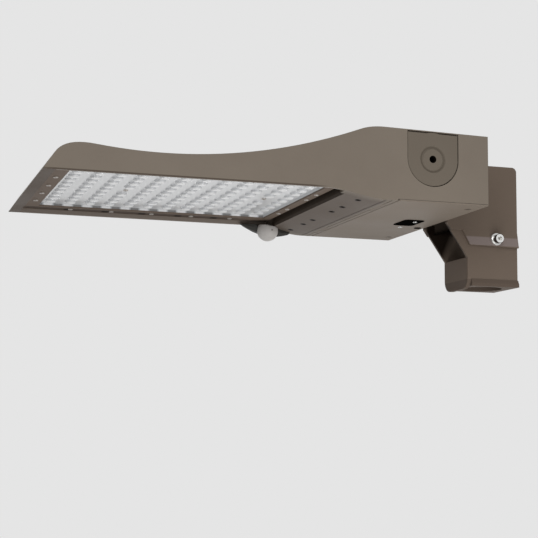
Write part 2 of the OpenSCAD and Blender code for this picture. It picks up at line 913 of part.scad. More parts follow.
module surge_protector() {
    color([0.15, 0.25, 0.55])
    block(
        surge_s - surge_l / 2, surge_s + surge_l / 2, surge_w,
        driver_top - surge_h, driver_top, surge_y
    );
}

module terminal_block() {
    color([0.9, 0.9, 0.85])
    difference() {
        block(
            box_s0, box_s0 + terminal_l, terminal_w,
            terminal_low, terminal_low + terminal_h, terminal_y
        );
        for (i = [-1:1])
            long_rod(
                rear_x - box_s0 - terminal_l - over, rear_x - box_s0 - terminal_l / 2,
                terminal_y + i * terminal_pitch, door_z + terminal_low + terminal_h / 2, terminal_hole_r
            );
    }
}

module wire_grommet() {
    lip_x = rear_x - rear_wall - grommet_lip;
    z = door_z + wire_hole_h;
    color([0.08, 0.08, 0.08])
    difference() {
        union() {
            long_rod(lip_x, rear_x - fit / 3, 0, z, wire_hole_r - fit / 3);
            long_rod(lip_x, rear_x - rear_wall, 0, z, wire_hole_r + grommet_lip);
        }
        long_rod(lip_x - over, rear_x + over, 0, z, wire_hole_r - grommet_lip);
    }
}

module selector_module() {
    color([0.2, 0.35, 0.2])
    difference() {
        block(module_s0, module_s1, module_w, door_t, door_t + module_h, module_y);
        for (y = selector_screw_y)
            post(selector_screw_s, y, screw_r, door_t - over, door_t + selector_screw_l + over);
    }
}

module selector_screws() {
    color(stainless)
    for (i = [0, 1]) {
        y = selector_screw_y[i];
        under = i == 0 ? -port_proud : 0;
        post(selector_screw_s, y, screw_head_r, under - screw_head_h, under);
        post(selector_screw_s, y, screw_r, under - screw_head_h / 2, door_t + selector_screw_l);
    }
}

module port_cover() {
    x = rear_x - port_s;
    color(black)
    difference() {
        union() {
            round_block(x, port_y, port_l, port_w, port_round, door_z - port_proud, door_z);
            round_block(
                x, port_y, port_l - 2 * module_wall - fit, port_w - 2 * module_wall - fit,
                port_round - module_wall, door_z - port_proud / 2, door_z + door_t
            );
        }
        for (y = selector_screw_y)
            post(selector_screw_s, y, screw_r + fit, -port_proud - over, door_t + over);
    }
}

module breather_vent() {
    color(black) {
        post(vent_s, vent_y, vent_r, -port_proud, 0);
        post(vent_s, vent_y, vent_r * vent_stem_share - fit / 2, -port_proud / 2, door_t + vent_stem);
    }
}

// A blanking cover: a round-bottomed plate with a rounded groove round its centre hole
module side_cover(side) {
    cut_r = (ring_w * ring_w / 4 + ring_depth * ring_depth) / (2 * ring_depth);
    color(bronze)
    difference() {
        across(cover_t, side * (half_w - cover_t / 2))
        cover_outline(0, cover_lip + cover_top_gap);
        translate([rear_x - cover_s, side * (half_w + cut_r - ring_depth), door_z + cover_h])
        rotate([90, 0, 0])
        rotate_extrude()
        translate([ring_r - ring_w / 2, 0])
        circle(cut_r);
        side_rod(side, cover_hole_r, -over, cover_t + over);
    }
}

module side_cover_near() {
    side_cover(-1);
}

module side_cover_far() {
    side_cover(1);
}

// The sensor hugs the underside of the lamp beside the air slot: a thin base with a wing either side
module sensor_base() {
    color([0.16, 0.16, 0.16])
    difference() {
        intersection() {
            across(sensor_w, sensor_y)
            polygon(place([
                for (i = [0:len(sensor_place_shares) - 1])
                    [sensor_s + sensor_place_shares[i] * sensor_l, sensor_depth_shares[i] * dome_r]
            ]));
            round_block(
                rear_x - sensor_s, sensor_y, sensor_l + sensor_w / 4, sensor_w, sensor_w / 2 - fit,
                door_z - dome_r, door_z + dome_r
            );
        }
        translate([0, 0, -fit])
        across(lamp_w + over) lamp_outline();
        post(sensor_s, sensor_y, dome_r + fit, -dome_r, dome_top);
    }
}

// The dome is a shell with a short round rim that stands on the base
module sensor_lens() {
    color([0.88, 0.88, 0.88])
    difference() {
        union() {
            dome_ball(dome_r);
            post(sensor_s, sensor_y, dome_r, dome_h, dome_top);
        }
        dome_ball(dome_r - dome_t);
        post(sensor_s, sensor_y, dome_r - dome_t, dome_h, dome_top + over);
    }
}

// The lower half of a ball round the dome's centre
module dome_ball(r) {
    difference() {
        translate([rear_x - sensor_s, sensor_y, door_z + dome_h])
        sphere(r);
        block(sensor_s - 2 * r, sensor_s + 2 * r, 4 * r, dome_h, dome_h + 2 * r, sensor_y);
    }
}

module sensor_board() {
    color([0.1, 0.3, 0.15])
    post(sensor_s, sensor_y, dome_r - dome_t - fit, dome_top - board_t, dome_top);
}

// A band that flares outward on its way down, on the sides and the rear of a box-shaped piece.
// It starts with a step of its own share of out, and its lowest share of height is upright.
module flare(x0, x1, w, out, z0, z1, step_share, edge_share) {
    z_mid = z0 + (z1 - z0) * edge_share;
    step = out * step_share;
    intersection() {
        across(w + 2 * out)
        polygon([[x0, z0], [x1 + out, z0], [x1 + out, z_mid], [x1 + step, z1], [x0, z1]]);
        rotate([90, 0, 90])
        translate([0, 0, x0])
        linear_extrude(x1 + out - x0)
        polygon([
            [-w / 2 - out, z0], [w / 2 + out, z0], [w / 2 + out, z_mid],
            [w / 2 + step, z1], [-w / 2 - step, z1], [-w / 2 - out, z_mid]
        ]);
    }
}

// The touching point of a line from p to the collar's round head; side picks the upper or lower one
function head_touch(p, side) =
    let (
        dx = pivot_x - p[0],
        dz = pivot_z - p[1],
        d = sqrt(dx * dx + dz * dz),
        a = atan2(dz, dx) + side * asin(head_r / d),
        l = sqrt(d * d - head_r * head_r)
    )
    [p[0] + l * cos(a), p[1] + l * sin(a)];

stop_top = head_touch([head_point_x, head_point_z], 1);
stop_slope = (stop_top[1] - head_point_z) / (stop_top[0] - head_point_x);

// Height of the sloping front line of the collar and the bracket, at x
function front_line(x) =
    front_wall_top + (x + collar_front) * (head_point_z - front_wall_top) / (head_point_x + collar_front);

// Everything below the bracket's lower edge and ahead of its sloping front
module bracket_cut_outline() {
    end_x = bracket_rear + bracket_round;
    polygon([
        [2 * rear_x, notch_z], [notch_x, notch_z], [step_x, step_z],
        [end_x, step_z - step_fall * (end_x - step_x) / (bracket_rear - step_x)],
        [end_x, -over], [2 * rear_x, -over]
    ]);
    polygon([
        [rear_x - over, front_line(rear_x - over)], [-collar_front, front_wall_top],
        [rear_x - over, front_wall_top]
    ]);
}

module bracket_outline() {
    polygon([
        [bracket_x, front_line(bracket_x)], [-collar_front, front_wall_top],
        [bracket_rear, front_wall_top], [bracket_rear, bracket_top - bracket_round],
        [bracket_rear - bracket_round, bracket_top], [bracket_x, bracket_top]
    ]);
    translate([bracket_rear - bracket_round, bracket_top - bracket_round])
    circle(bracket_round);
}

module wall_bolts(x0, x1, r, sides = 48) {
    for (y = [-1, 1], h = bracket_bolt_h)
        translate([x0, y * bracket_bolt_y, door_z + h])
        rotate([0, 90, 0])
        cylinder(h = x1 - x0, r = r, $fn = sides);
}

module bracket() {
    plate_x = bracket_x + bracket_front_t;
    reach = bracket_out + flange_out;
    color(dark_bronze) {
        difference() {
            union() {
                across(2 * bracket_out) bracket_outline();
                flare(
                    rear_x, bracket_rear, 2 * bracket_out, flange_out,
                    step_z - 2 * step_fall, band_top, 0, band_edge_share
                );
                // Flat seats for the washers
                pivot_rod(seat_r, -reach, reach);
            }
            across(2 * (reach + over)) bracket_cut_outline();
            // The inside is open below, and the rear wall stops high enough to swing past the collar
            translate([plate_x, -bracket_in, -over])
            cube([bracket_rear - bracket_t - plate_x, 2 * bracket_in, bracket_top - bracket_t + over]);
            translate([plate_x, -bracket_in, -over])
            cube([2 * bracket_rear - plate_x, 2 * bracket_in, bracket_wall_z + over]);
            translate([rear_x, -bracket_in, -over])
            cube([rear_gap, 2 * bracket_in, door_z + bracket_t + over]);
            long_rod(rear_x, plate_x + over, 0, door_z + wire_hole_h, wire_hole_r);
            wall_bolts(rear_x, plate_x + over, bracket_bolt_r + fit);
            bolt_hole(reach + over);
        }
        // Stops that rest on the collar's cheeks when the lamp is level
        for (side = [-1, 1])
            across(cheek_t, side * (bracket_in - cheek_t / 2))
            polygon([
                [head_point_x, head_point_z + fit],
                [head_point_x + stop_l, head_point_z + fit + stop_l * stop_slope],
                [head_point_x + stop_l, door_z + bracket_t], [plate_x - over, door_z + 2 * bracket_t],
                [bracket_x, door_z + bracket_t], [bracket_x, front_line(bracket_x) + fit]
            ]);
    }
}

// A cylinder on the tilt bolt's axis, between y0 and y1
module pivot_rod(r, y0, y1) {
    translate([pivot_x, y1, pivot_z])
    rotate([90, 0, 0])
    cylinder(h = y1 - y0, r = r);
}

module bolt_hole(reach) {
    pivot_rod(bolt_r + pin_play, -reach, reach);
}

module bracket_gasket() {
    color(black)
    difference() {
        translate([rear_x, -bracket_in, door_z + bracket_t])
        cube([bracket_gasket_t, 2 * bracket_in, bracket_h - 2 * bracket_t]);
        long_rod(rear_x - over, bracket_x + over, 0, door_z + wire_hole_h, wire_hole_r);
        wall_bolts(rear_x - over, bracket_x + over, bracket_bolt_r + fit);
    }
}

module bracket_bolts() {
    plate_x = bracket_x + bracket_front_t;
    color(stainless) {
        wall_bolts(rear_x - rear_wall, plate_x + wall_bolt_past, bracket_bolt_r);
        wall_bolts(plate_x, plate_x + wall_nut_h, wall_nut_r, 6);
    }
}

// The collar's cheeks slope forward past the tilt bolt and end in a round head
module collar_outline() {
    front = [head_point_x, head_point_z];
    rear = [collar_rear, rear_wall_top];
    polygon([
        [-collar_front, 0], [-collar_front, front_wall_top], front, head_touch(front, 1),
        [pivot_x, pivot_z], head_touch(rear, -1), rear, [collar_rear, 0]
    ]);
    translate([pivot_x, pivot_z])
    circle(head_r);
}

// The front wall hangs a little lower than the rest and has round lower corners
module apron_outline() {
    square([collar_w - 2 * apron_round, 2 * apron_round], center = true);
    for (side = [-1, 1])
        translate([side * (cheek_w - apron_round), 0])
        circle(apron_round);
    translate([-cheek_w, 0])
    square([collar_w, front_wall_top + apron_drop - apron_round]);
}

module collar() {
    color(dark_bronze)
    difference() {
        union() {
            intersection() {
                across(collar_w) collar_outline();
                union() {
                    translate([apron_t - collar_front, -cheek_w, 0])
                    cube([2 * collar_rear, collar_w, 2 * pivot_z]);
                    translate([2 * head_point_x, -cheek_w, front_wall_top])
                    cube([-2 * head_point_x, collar_w, 2 * pivot_z]);
                }
            }
            translate([-collar_front, 0, apron_round - apron_drop])
            rotate([90, 0, 90])
            linear_extrude(apron_t)
            apron_outline();
            flare(
                apron_t - collar_front, collar_rear, collar_w, flange_out,
                0, flange_h, flange_step_share, flange_edge_share
            );
        }
        // Pole socket, with a ledge above it that the pole stops on
        translate([0, 0, -apron_drop - over])
        cylinder(h = socket_depth + apron_drop + over, r = socket_r);
        cylinder(h = pivot_z, r = socket_r - ledge_w);
        // The open space between the cheeks
        translate([2 * head_point_x, cheek_t - cheek_w, front_wall_top])
        cube([collar_rear - cheek_t - 2 * head_point_x, collar_w - 2 * cheek_t, 2 * pivot_z]);
        bolt_hole(collar_w);
        for (z = set_screw_z)
            long_rod(0, collar_rear + over, 0, z, set_screw_r);
    }
}

module set_screws() {
    color(stainless)
    for (z = set_screw_z)
        difference() {
            long_rod(socket_r + fit, collar_rear - fit, 0, z, set_screw_r);
            translate([collar_rear - fit - set_screw_r, 0, z])
            rotate([0, 90, 0])
            cylinder(h = 2 * set_screw_r, r = set_screw_r * 0.6, $fn = 6);
        }
}

// The tilt bolt's round head with its hexagon socket is on the near side, its nut on the far side
module tilt_bolt() {
    under = band_y + washer_t + spring_t;
    top = under + cap_h;
    color(stainless)
    difference() {
        union() {
            pivot_rod(bolt_r, -under, band_y + washer_t + nut_h + bolt_past);
            pivot_rod(cap_r, cap_edge - top, -under);
            translate([pivot_x, cap_edge - top, pivot_z])
            rotate([90, 0, 0])
            cylinder(h = cap_edge, r1 = cap_r, r2 = cap_r - cap_edge);
        }
        translate([pivot_x, socket_hex_depth - top, pivot_z])
        rotate([90, 0, 0])
        cylinder(h = 2 * socket_hex_depth, r = socket_hex_r, $fn = 6);
    }
}

module tilt_nut() {
    color(stainless)
    difference() {
        translate([pivot_x, band_y + washer_t + nut_h, pivot_z])
        rotate([90, 0, 0])
        cylinder(h = nut_h, r = nut_r, $fn = 6);
        bolt_hole(2 * band_y);
    }
}

module tilt_washers() {
    color(stainless)
    difference() {
        for (y = [-band_y - washer_t, band_y])
            pivot_rod(washer_r, y, y + washer_t);
        bolt_hole(2 * band_y);
    }
}

// The spring washer under the bolt's head, with its slit
module lock_washer() {
    color(stainless)
    difference() {
        pivot_rod(spring_r, -band_y - washer_t - spring_t, -band_y - washer_t);
        bolt_hole(2 * band_y);
        translate([pivot_x - spring_gap / 2, -2 * band_y, pivot_z])
        cube([spring_gap, 2 * band_y, 2 * spring_r]);
    }
}

housing();
lens_frame();
lens_plate();
lens_gasket();
led_board();
led_packages();
frame_screws();
driver_door();
door_gasket();
door_screws();
hinge_pins();
led_driver();
driver_screws();
surge_protector();
terminal_block();
wire_grommet();
selector_module();
selector_screws();
port_cover();
breather_vent();
side_cover_near();
side_cover_far();
sensor_base();
sensor_lens();
sensor_board();
bracket();
bracket_gasket();
bracket_bolts();
collar();
set_screws();
tilt_bolt();
tilt_nut();
tilt_washers();
lock_washer();
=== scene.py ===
"""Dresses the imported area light: paint, optics, screws, sensor and a pale studio."""

import math

import bmesh
import bpy
from mathutils import Matrix, Vector


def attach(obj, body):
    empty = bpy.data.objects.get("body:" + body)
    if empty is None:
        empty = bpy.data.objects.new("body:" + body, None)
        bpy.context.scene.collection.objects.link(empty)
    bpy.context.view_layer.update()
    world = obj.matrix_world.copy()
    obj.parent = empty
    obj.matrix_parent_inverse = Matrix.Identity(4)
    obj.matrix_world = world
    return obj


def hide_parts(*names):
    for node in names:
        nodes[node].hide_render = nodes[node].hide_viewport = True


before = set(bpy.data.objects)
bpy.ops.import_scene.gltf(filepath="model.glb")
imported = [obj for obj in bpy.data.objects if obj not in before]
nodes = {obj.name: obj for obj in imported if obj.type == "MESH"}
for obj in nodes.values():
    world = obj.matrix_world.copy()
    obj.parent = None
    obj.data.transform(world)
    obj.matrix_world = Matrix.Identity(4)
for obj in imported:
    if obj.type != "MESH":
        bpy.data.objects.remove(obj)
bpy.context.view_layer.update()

# Sizes of the lamp that the dressing follows, in metres. The nose points to -x and the
# near side to -y. A run is a length forward from the lamp's rear face.
SIDES = (-1, 1)
REAR_X = -0.0738
DOOR_Z = 0.092
HALF_W = 0.1722
RIM_H = 0.0117
RIM_Z = DOOR_Z + RIM_H
STEP_START = 0.1442
STEP_L = 0.09
FRAME_Z = DOOR_Z + 0.0176
LENS_Z = DOOR_Z + 0.0229

# Window of the light engine, and the optics in it
WINDOW_START = 0.2197
WINDOW_END = 0.5589
WINDOW_L = WINDOW_END - WINDOW_START
WINDOW_MID = (WINDOW_START + WINDOW_END) / 2
WINDOW_HALF_W = 0.14
# Side walls of the tray, which have painted shade
WALL_Y = WINDOW_HALF_W + 0.004
WALL_HALF_W = 0.0045
OPTIC_COLS = 12
OPTIC_ROWS = 9
OPTIC_PITCH = 0.0282
# Radii of the painted highlight on each optic, its soft edge, and the painted shade at
# its foot
OPTIC_CORE_R = 0.0066
OPTIC_CORE_SOFT = 0.0028
OPTIC_FOOT_R = 0.0084
BLANK_COLS = (3, 10)
BLANK_ROW = 4

# Dark notches along the light engine's side edges, drawn as painted shade
NOTCH_X = -0.587
NOTCH_PITCH = 0.0552
NOTCH_COUNT = 5
NOTCH_HALF_L = 0.0052
NOTCH_Y = 0.158
NOTCH_HALF_W = 0.0065
NOTCH_Z = FRAME_Z - 0.0008
NOTCH_HALF_H = 0.002
NOTCH_SOFT = 0.0012

# Tilt bolt's end and its socket; the bolt has painted shade in the socket and beyond
# the end
PIVOT_X = 0.0035
PIVOT_Z = 0.0683
BOLT_END_R = 0.0061
BOLT_SOCKET_R = 0.003

# Hole and ring in the side covers, both drawn as painted shade
HUB_X = -0.1551
HUB_Z = 0.1504
HUB_HOLE_R = 0.005
HUB_RING_R = 0.0164
HUB_RING_HALF_W = 0.0008
HUB_RING_SOFT = 0.0028

# Sensor: its middle, its dome, its base and the gap between them
SENSOR_X = REAR_X - 0.2072
SENSOR_Y = 0.1554
SENSOR_Z = DOOR_Z + 0.002
DOME_R = 0.0163
DOME_GAP = 0.0004
BASE_Y = 0.1632
BASE_L = 0.078
BASE_HALF_W = 0.0084

# Width over which a painted edge changes colour, and over which a shaded box's edge
# does as a share of its reach
CRISP = 0.0002
BOX_SOFT = 0.12

# Part of a noise pattern over which the gloss changes
GLOSS_FROM = 0.3
GLOSS_TO = 0.7

# Depth of the finest relief, and the radius that a casting's edges are shaded with
BUMP_DEPTH = 0.0002
SOFT_EDGE_R = 0.0007

# Camera at the photograph's viewing angle
CAMERA_AT = (-0.8948, -1.7714, -0.2112)
CAMERA_YAW = 0.3098
CAMERA_PITCH = 0.1213
CAMERA_ROLL = 0.0072
CAMERA_LENS = 89.54
CAMERA_SENSOR = 36.0
CAMERA_CLIP = (0.01, 100.0)


def srgb(red, green, blue):
    """A colour of 0 to 255 on screen, as the linear values that a shader takes."""

    def linear(value):
        value /= 255
        return value / 12.92 if value <= 0.04045 else ((value + 0.055) / 1.055) ** 2.4

    return (linear(red), linear(green), linear(blue), 1.0)


# Node trees

VECTOR = "NodeSocketVector"
COLOUR = "NodeSocketColor"
NUMBER = "NodeSocketFloat"
GEOMETRY = "NodeSocketGeometry"
SURFACE_OUTPUTS = [("Colour", COLOUR), ("Roughness", NUMBER), ("Height", NUMBER)]
BLACK = srgb(0, 0, 0)


def new_tree(name, kind, inputs, outputs):
    """A node tree with named inputs and outputs, and the sockets at its two ends.

    It also gives the identifiers that a modifier takes the inputs by.
    """
    tree = bpy.data.node_groups.new(name, kind)
    keys = {}
    for label, socket_kind, value in inputs:
        socket = tree.interface.new_socket(
            label, in_out="INPUT", socket_type=socket_kind
        )
        if value is not None:
            socket.default_value = value
        keys[label] = socket.identifier
    for label, socket_kind in outputs:
        tree.interface.new_socket(label, in_out="OUTPUT", socket_type=socket_kind)
    start = tree.nodes.new("NodeGroupInput").outputs
    end = tree.nodes.new("NodeGroupOutput").inputs
    return tree, start, end, keys


def feed(tree, socket, value):
    """Links a socket to another node's output, or sets it to a plain value."""
    if isinstance(value, bpy.types.NodeSocket):
        tree.links.new(value, socket)
    else:
        socket.default_value = value


def add(tree, kind, settings=None, **inputs):
    """Adds a node, sets its properties and feeds its inputs, with _ for a space."""
    node = tree.nodes.new(kind)
    for key, value in (settings or {}).items():
        setattr(node, key, value)
    for label, value in inputs.items():
        feed(tree, node.inputs[label.replace("_", " ")], value)
    return node


def operate(tree, kind, operation, values):
    """Adds a node that works on values given in the order of its inputs."""
    node = add(tree, kind, {"operation": operation})
    for socket, value in zip(node.inputs, values):
        feed(tree, socket, value)
    return node.outputs[0]


def math_node(tree, operation, *values):
    """One step of arithmetic on numbers."""
    return operate(tree, "ShaderNodeMath", operation, values)


def vector_math(tree, operation, *values):
    """One step of arithmetic on vectors."""
    return operate(tree, "ShaderNodeVectorMath", operation, values)


def product(tree, value, *others):
    """All the values multiplied together."""
    for other in others:
        value = math_node(tree, "MULTIPLY", value, other)
    return value


def distance(tree, one, other):
    """Distance from an axis, worked out from the two coordinates square to it."""
    squares = [math_node(tree, "MULTIPLY", value, value) for value in (one, other)]
    return math_node(tree, "SQRT", math_node(tree, "ADD", *squares))


def pick(tree, where, axis):
    """One coordinate of a vector."""
    return add(tree, "ShaderNodeSeparateXYZ", Vector=where).outputs[axis]


def distance_from_axis(tree, where, middle_x, middle_z):
    """Distance from an axis that runs across the lamp."""
    off_x = math_node(tree, "SUBTRACT", pick(tree, where, "X"), middle_x)
    off_z = math_node(tree, "SUBTRACT", pick(tree, where, "Z"), middle_z)
    return distance(tree, off_x, off_z)


def spread(tree, value, low, high, to_low=0.0, to_high=1.0):
    """Stretches the part of value from low to high over to_low to to_high."""
    node = add(
        tree,
        "ShaderNodeMapRange",
        Value=value,
        From_Min=low,
        From_Max=high,
        To_Min=to_low,
        To_Max=to_high,
    )
    return node.outputs["Result"]


def below(tree, value, limit, soft):
    """1 where value is under limit, 0 above it, with a soft edge of the width soft."""
    return spread(tree, value, limit - soft / 2, limit + soft / 2, 1.0, 0.0)


def near(tree, value, middle, reach, soft):
    """1 where value lies within reach of middle, with soft edges."""
    away = math_node(tree, "ABSOLUTE", math_node(tree, "SUBTRACT", value, middle))
    return below(tree, away, reach, soft)


def noise(tree, where, scale, detail, roughness=0.55):
    """Cloudy pattern with this many waves to a metre."""
    node = add(
        tree,
        "ShaderNodeTexNoise",
        Vector=where,
        Scale=scale,
        Detail=detail,
        Roughness=roughness,
    )
    return node.outputs["Fac"]


def gloss(tree, pattern, low, high):
    """Roughness that goes from low to high with a noise pattern."""
    return spread(tree, pattern, GLOSS_FROM, GLOSS_TO, low, high)


def mix_colours(tree, share, first, second):
    """The first colour where share is 0, and the second where it is 1."""
    node = add(tree, "ShaderNodeMix", {"data_type": "RGBA"})
    for place, value in ((0, share), (6, first), (7, second)):
        feed(tree, node.inputs[place], value)
    return node.outputs[2]


def put_out(tree, end, **values):
    """Links values to a tree's outputs of the same names."""
    for label, value in values.items():
        tree.links.new(value, end[label])


# Shader groups


def new_group(name, inputs, outputs):
    """A shader group that takes the piece's own coordinates as Vector."""
    inputs = [("Vector", VECTOR, None)] + inputs
    return new_tree(name, "ShaderNodeTree", inputs, outputs)[:3]


def make_coating_group():
    """Powder coat: soft blotches, a fine orange peel and a slightly uneven gloss."""
    group, start, end = new_group(
        "powder_coat",
        [
            ("Colour", COLOUR, None),
            ("Worn Colour", COLOUR, None),
            ("Blotch Share", NUMBER, 0.35),
            ("Blotch Scale", NUMBER, 9.0),
            ("Speck Share", NUMBER, 0.1),
            ("Speck Scale", NUMBER, 420.0),
            ("Gloss Low", NUMBER, 0.42),
            ("Gloss High", NUMBER, 0.56),
            ("Peel Scale", NUMBER, 900.0),
        ],
        SURFACE_OUTPUTS,
    )
    where = start["Vector"]
    worn, most_blotch, most_speck = (
        start[label] for label in ("Worn Colour", "Blotch Share", "Speck Share")
    )
    blotches = noise(group, where, start["Blotch Scale"], detail=4.0)
    specks = noise(group, where, start["Speck Scale"], detail=2.0)
    peel = noise(group, where, start["Peel Scale"], detail=2.0, roughness=0.5)
    blotch_share = spread(group, blotches, low=0.35, high=0.7, to_high=most_blotch)
    speck_share = spread(group, specks, low=0.3, high=0.75, to_high=most_speck)
    clouded = mix_colours(group, blotch_share, start["Colour"], worn)
    put_out(
        group,
        end,
        Colour=mix_colours(group, speck_share, clouded, worn),
        Roughness=gloss(group, blotches, start["Gloss Low"], start["Gloss High"]),
        Height=peel,
    )
    return group


def make_moulding_group():
    """Moulded plastic and rubber: a fine spark-eroded grain and faint tones."""
    group, start, end = new_group(
        "moulded_grain",
        [
            ("Colour", COLOUR, None),
            ("Pale Colour", COLOUR, None),
            ("Tone Scale", NUMBER, 40.0),
            ("Tone Share", NUMBER, 0.5),
            ("Gloss Low", NUMBER, 0.4),
            ("Gloss High", NUMBER, 0.6),
            ("Grain Scale", NUMBER, 1600.0),
        ],
        SURFACE_OUTPUTS,
    )
    where = start["Vector"]
    tone = noise(group, where, start["Tone Scale"], detail=3.0)
    grain = noise(group, where, start["Grain Scale"], detail=3.0, roughness=0.5)
    share = spread(group, tone, low=0.35, high=0.75, to_high=start["Tone Share"])
    put_out(
        group,
        end,
        Colour=mix_colours(group, share, start["Colour"], start["Pale Colour"]),
        Roughness=gloss(group, tone, start["Gloss Low"], start["Gloss High"]),
        Height=grain,
    )
    return group


def make_machining_group():
    """Machined metal: fine turning marks and small changes of gloss."""
    group, start, end = new_group(
        "machined_marks",
        [
            ("Colour", COLOUR, None),
            ("Dull Colour", COLOUR, None),
            ("Smudge Scale", NUMBER, 160.0),
            ("Smudge Share", NUMBER, 0.6),
            ("Gloss Low", NUMBER, 0.16),
            ("Gloss High", NUMBER, 0.34),
            ("Mark Scale", VECTOR, (300.0, 2600.0, 2600.0)),
        ],
        SURFACE_OUTPUTS,
    )
    where = start["Vector"]
    stretch = add(group, "ShaderNodeMapping", Vector=where, Scale=start["Mark Scale"])
    marks = noise(group, stretch.outputs["Vector"], scale=1.0, detail=3.0)
    smudge = noise(group, where, start["Smudge Scale"], detail=3.0)
    share = spread(group, smudge, low=0.35, high=0.75, to_high=start["Smudge Share"])
    put_out(
        group,
        end,
        Colour=mix_colours(group, share, start["Colour"], start["Dull Colour"]),
        Roughness=gloss(group, marks, start["Gloss Low"], start["Gloss High"]),
        Height=marks,
    )
    return group


def make_shade_group():
    """A darker or paler tone in a box, or in an upright cylinder if Round is 1.

    Middle and Reach give its place. The tone grows from nothing at the height Fade Low
    to full at Fade High, and with Fade Lean it also grows towards the nose. Both are
    below the lamp unless they are set, so that nothing fades.
    """
    group, start, end = new_group(
        "boxed_shade",
        [
            ("Colour", COLOUR, None),
            ("Shade", COLOUR, None),
            ("Middle", VECTOR, (0.0, 0.0, 0.0)),
            ("Reach", VECTOR, (0.01, 0.01, 0.01)),
            ("Strength", NUMBER, 0.9),
            ("Round", NUMBER, 0.0),
            ("Fade Low", NUMBER, -2.0),
            ("Fade High", NUMBER, -1.0),
            ("Fade Lean", NUMBER, 0.0),
        ],
        [("Colour", COLOUR)],
    )
    away = vector_math(group, "SUBTRACT", start["Vector"], start["Middle"])
    size = vector_math(group, "ABSOLUTE", away)
    part = vector_math(group, "DIVIDE", size, start["Reach"])
    along, across, up = (pick(group, part, axis) for axis in "XYZ")
    square = math_node(group, "MAXIMUM", along, across)
    circle = distance(group, along, across)
    flat = spread(group, start["Round"], 0.0, 1.0, to_low=square, to_high=circle)
    inside = below(group, math_node(group, "MAXIMUM", flat, up), 1.0, BOX_SOFT)
    lean = product(group, pick(group, start["Vector"], "X"), start["Fade Lean"])
    height = math_node(group, "SUBTRACT", pick(group, start["Vector"], "Z"), lean)
    fade = spread(group, height, start["Fade Low"], start["Fade High"])
    share = product(group, inside, fade, start["Strength"])
    shaded = mix_colours(group, share, start["Colour"], start["Shade"])
    put_out(group, end, Colour=shaded)
    return group


def make_notch_group():
    """Painted shade: a row of dark notches along both side edges of the light engine.
    """
    group, start, end = new_group(
        "edge_notch_shade",
        [
            ("Colour", COLOUR, None),
            ("Notch Colour", COLOUR, None),
            ("Strength", NUMBER, 0.95),
        ],
        [("Colour", COLOUR)],
    )
    x, y, z = (pick(group, start["Vector"], axis) for axis in "XYZ")
    from_first = math_node(group, "SUBTRACT", x, NOTCH_X)
    step = math_node(group, "DIVIDE", from_first, NOTCH_PITCH)
    part = math_node(group, "FRACT", math_node(group, "ADD", step, 0.5))
    off = math_node(group, "SUBTRACT", part, 0.5)
    row_half = (NOTCH_COUNT - 1) * NOTCH_PITCH / 2
    share = product(
        group,
        near(group, product(group, off, NOTCH_PITCH), 0.0, NOTCH_HALF_L, NOTCH_SOFT),
        near(group, x, NOTCH_X + row_half, row_half + 2 * NOTCH_HALF_L, NOTCH_SOFT),
        near(group, math_node(group, "ABSOLUTE", y), NOTCH_Y, NOTCH_HALF_W, NOTCH_SOFT),
        near(group, z, NOTCH_Z, NOTCH_HALF_H, NOTCH_SOFT / 2),
        start["Strength"],
    )
    notched = mix_colours(group, share, start["Colour"], start["Notch Colour"])
    put_out(group, end, Colour=notched)
    return group


def make_hub_group():
    """Painted shade: a soft ring round the hole in the side cover, and the dark hole.
    """
    group, start, end = new_group(
        "cover_hub_shade",
        [
            ("Colour", COLOUR, None),
            ("Ring Colour", COLOUR, None),
            ("Hole Colour", COLOUR, None),
            ("Ring Strength", NUMBER, 0.9),
        ],
        [("Colour", COLOUR)],
    )
    radius = distance_from_axis(group, start["Vector"], HUB_X, HUB_Z)
    on_ring = near(group, radius, HUB_RING_R, HUB_RING_HALF_W, HUB_RING_SOFT)
    ring_share = product(group, on_ring, start["Ring Strength"])
    ringed = mix_colours(group, ring_share, start["Colour"], start["Ring Colour"])
    in_hole = below(group, radius, HUB_HOLE_R, CRISP)
    bored = mix_colours(group, in_hole, ringed, start["Hole Colour"])
    put_out(group, end, Colour=bored)
    return group


def make_bolt_group():
    """The tilt bolt: a bright turned end, and painted shade in its socket and on its
    side.
    """
    group, start, end = new_group(
        "socket_head",
        [
            ("End Colour", COLOUR, None),
            ("Socket Colour", COLOUR, None),
            ("Side Colour", COLOUR, None),
            ("Gloss Low", NUMBER, 0.2),
            ("Gloss High", NUMBER, 0.35),
            ("Mark Scale", NUMBER, 900.0),
        ],
        SURFACE_OUTPUTS,
    )
    radius = distance_from_axis(group, start["Vector"], PIVOT_X, PIVOT_Z)
    on_end = below(group, radius, BOLT_END_R, CRISP)
    ended = mix_colours(group, on_end, start["Side Colour"], start["End Colour"])
    in_socket = below(group, radius, BOLT_SOCKET_R, 2 * CRISP)
    marks = noise(group, start["Vector"], start["Mark Scale"], detail=2.0)
    put_out(
        group,
        end,
        Colour=mix_colours(group, in_socket, ended, start["Socket Colour"]),
        Roughness=gloss(group, marks, start["Gloss Low"], start["Gloss High"]),
        Height=marks,
    )
    return group


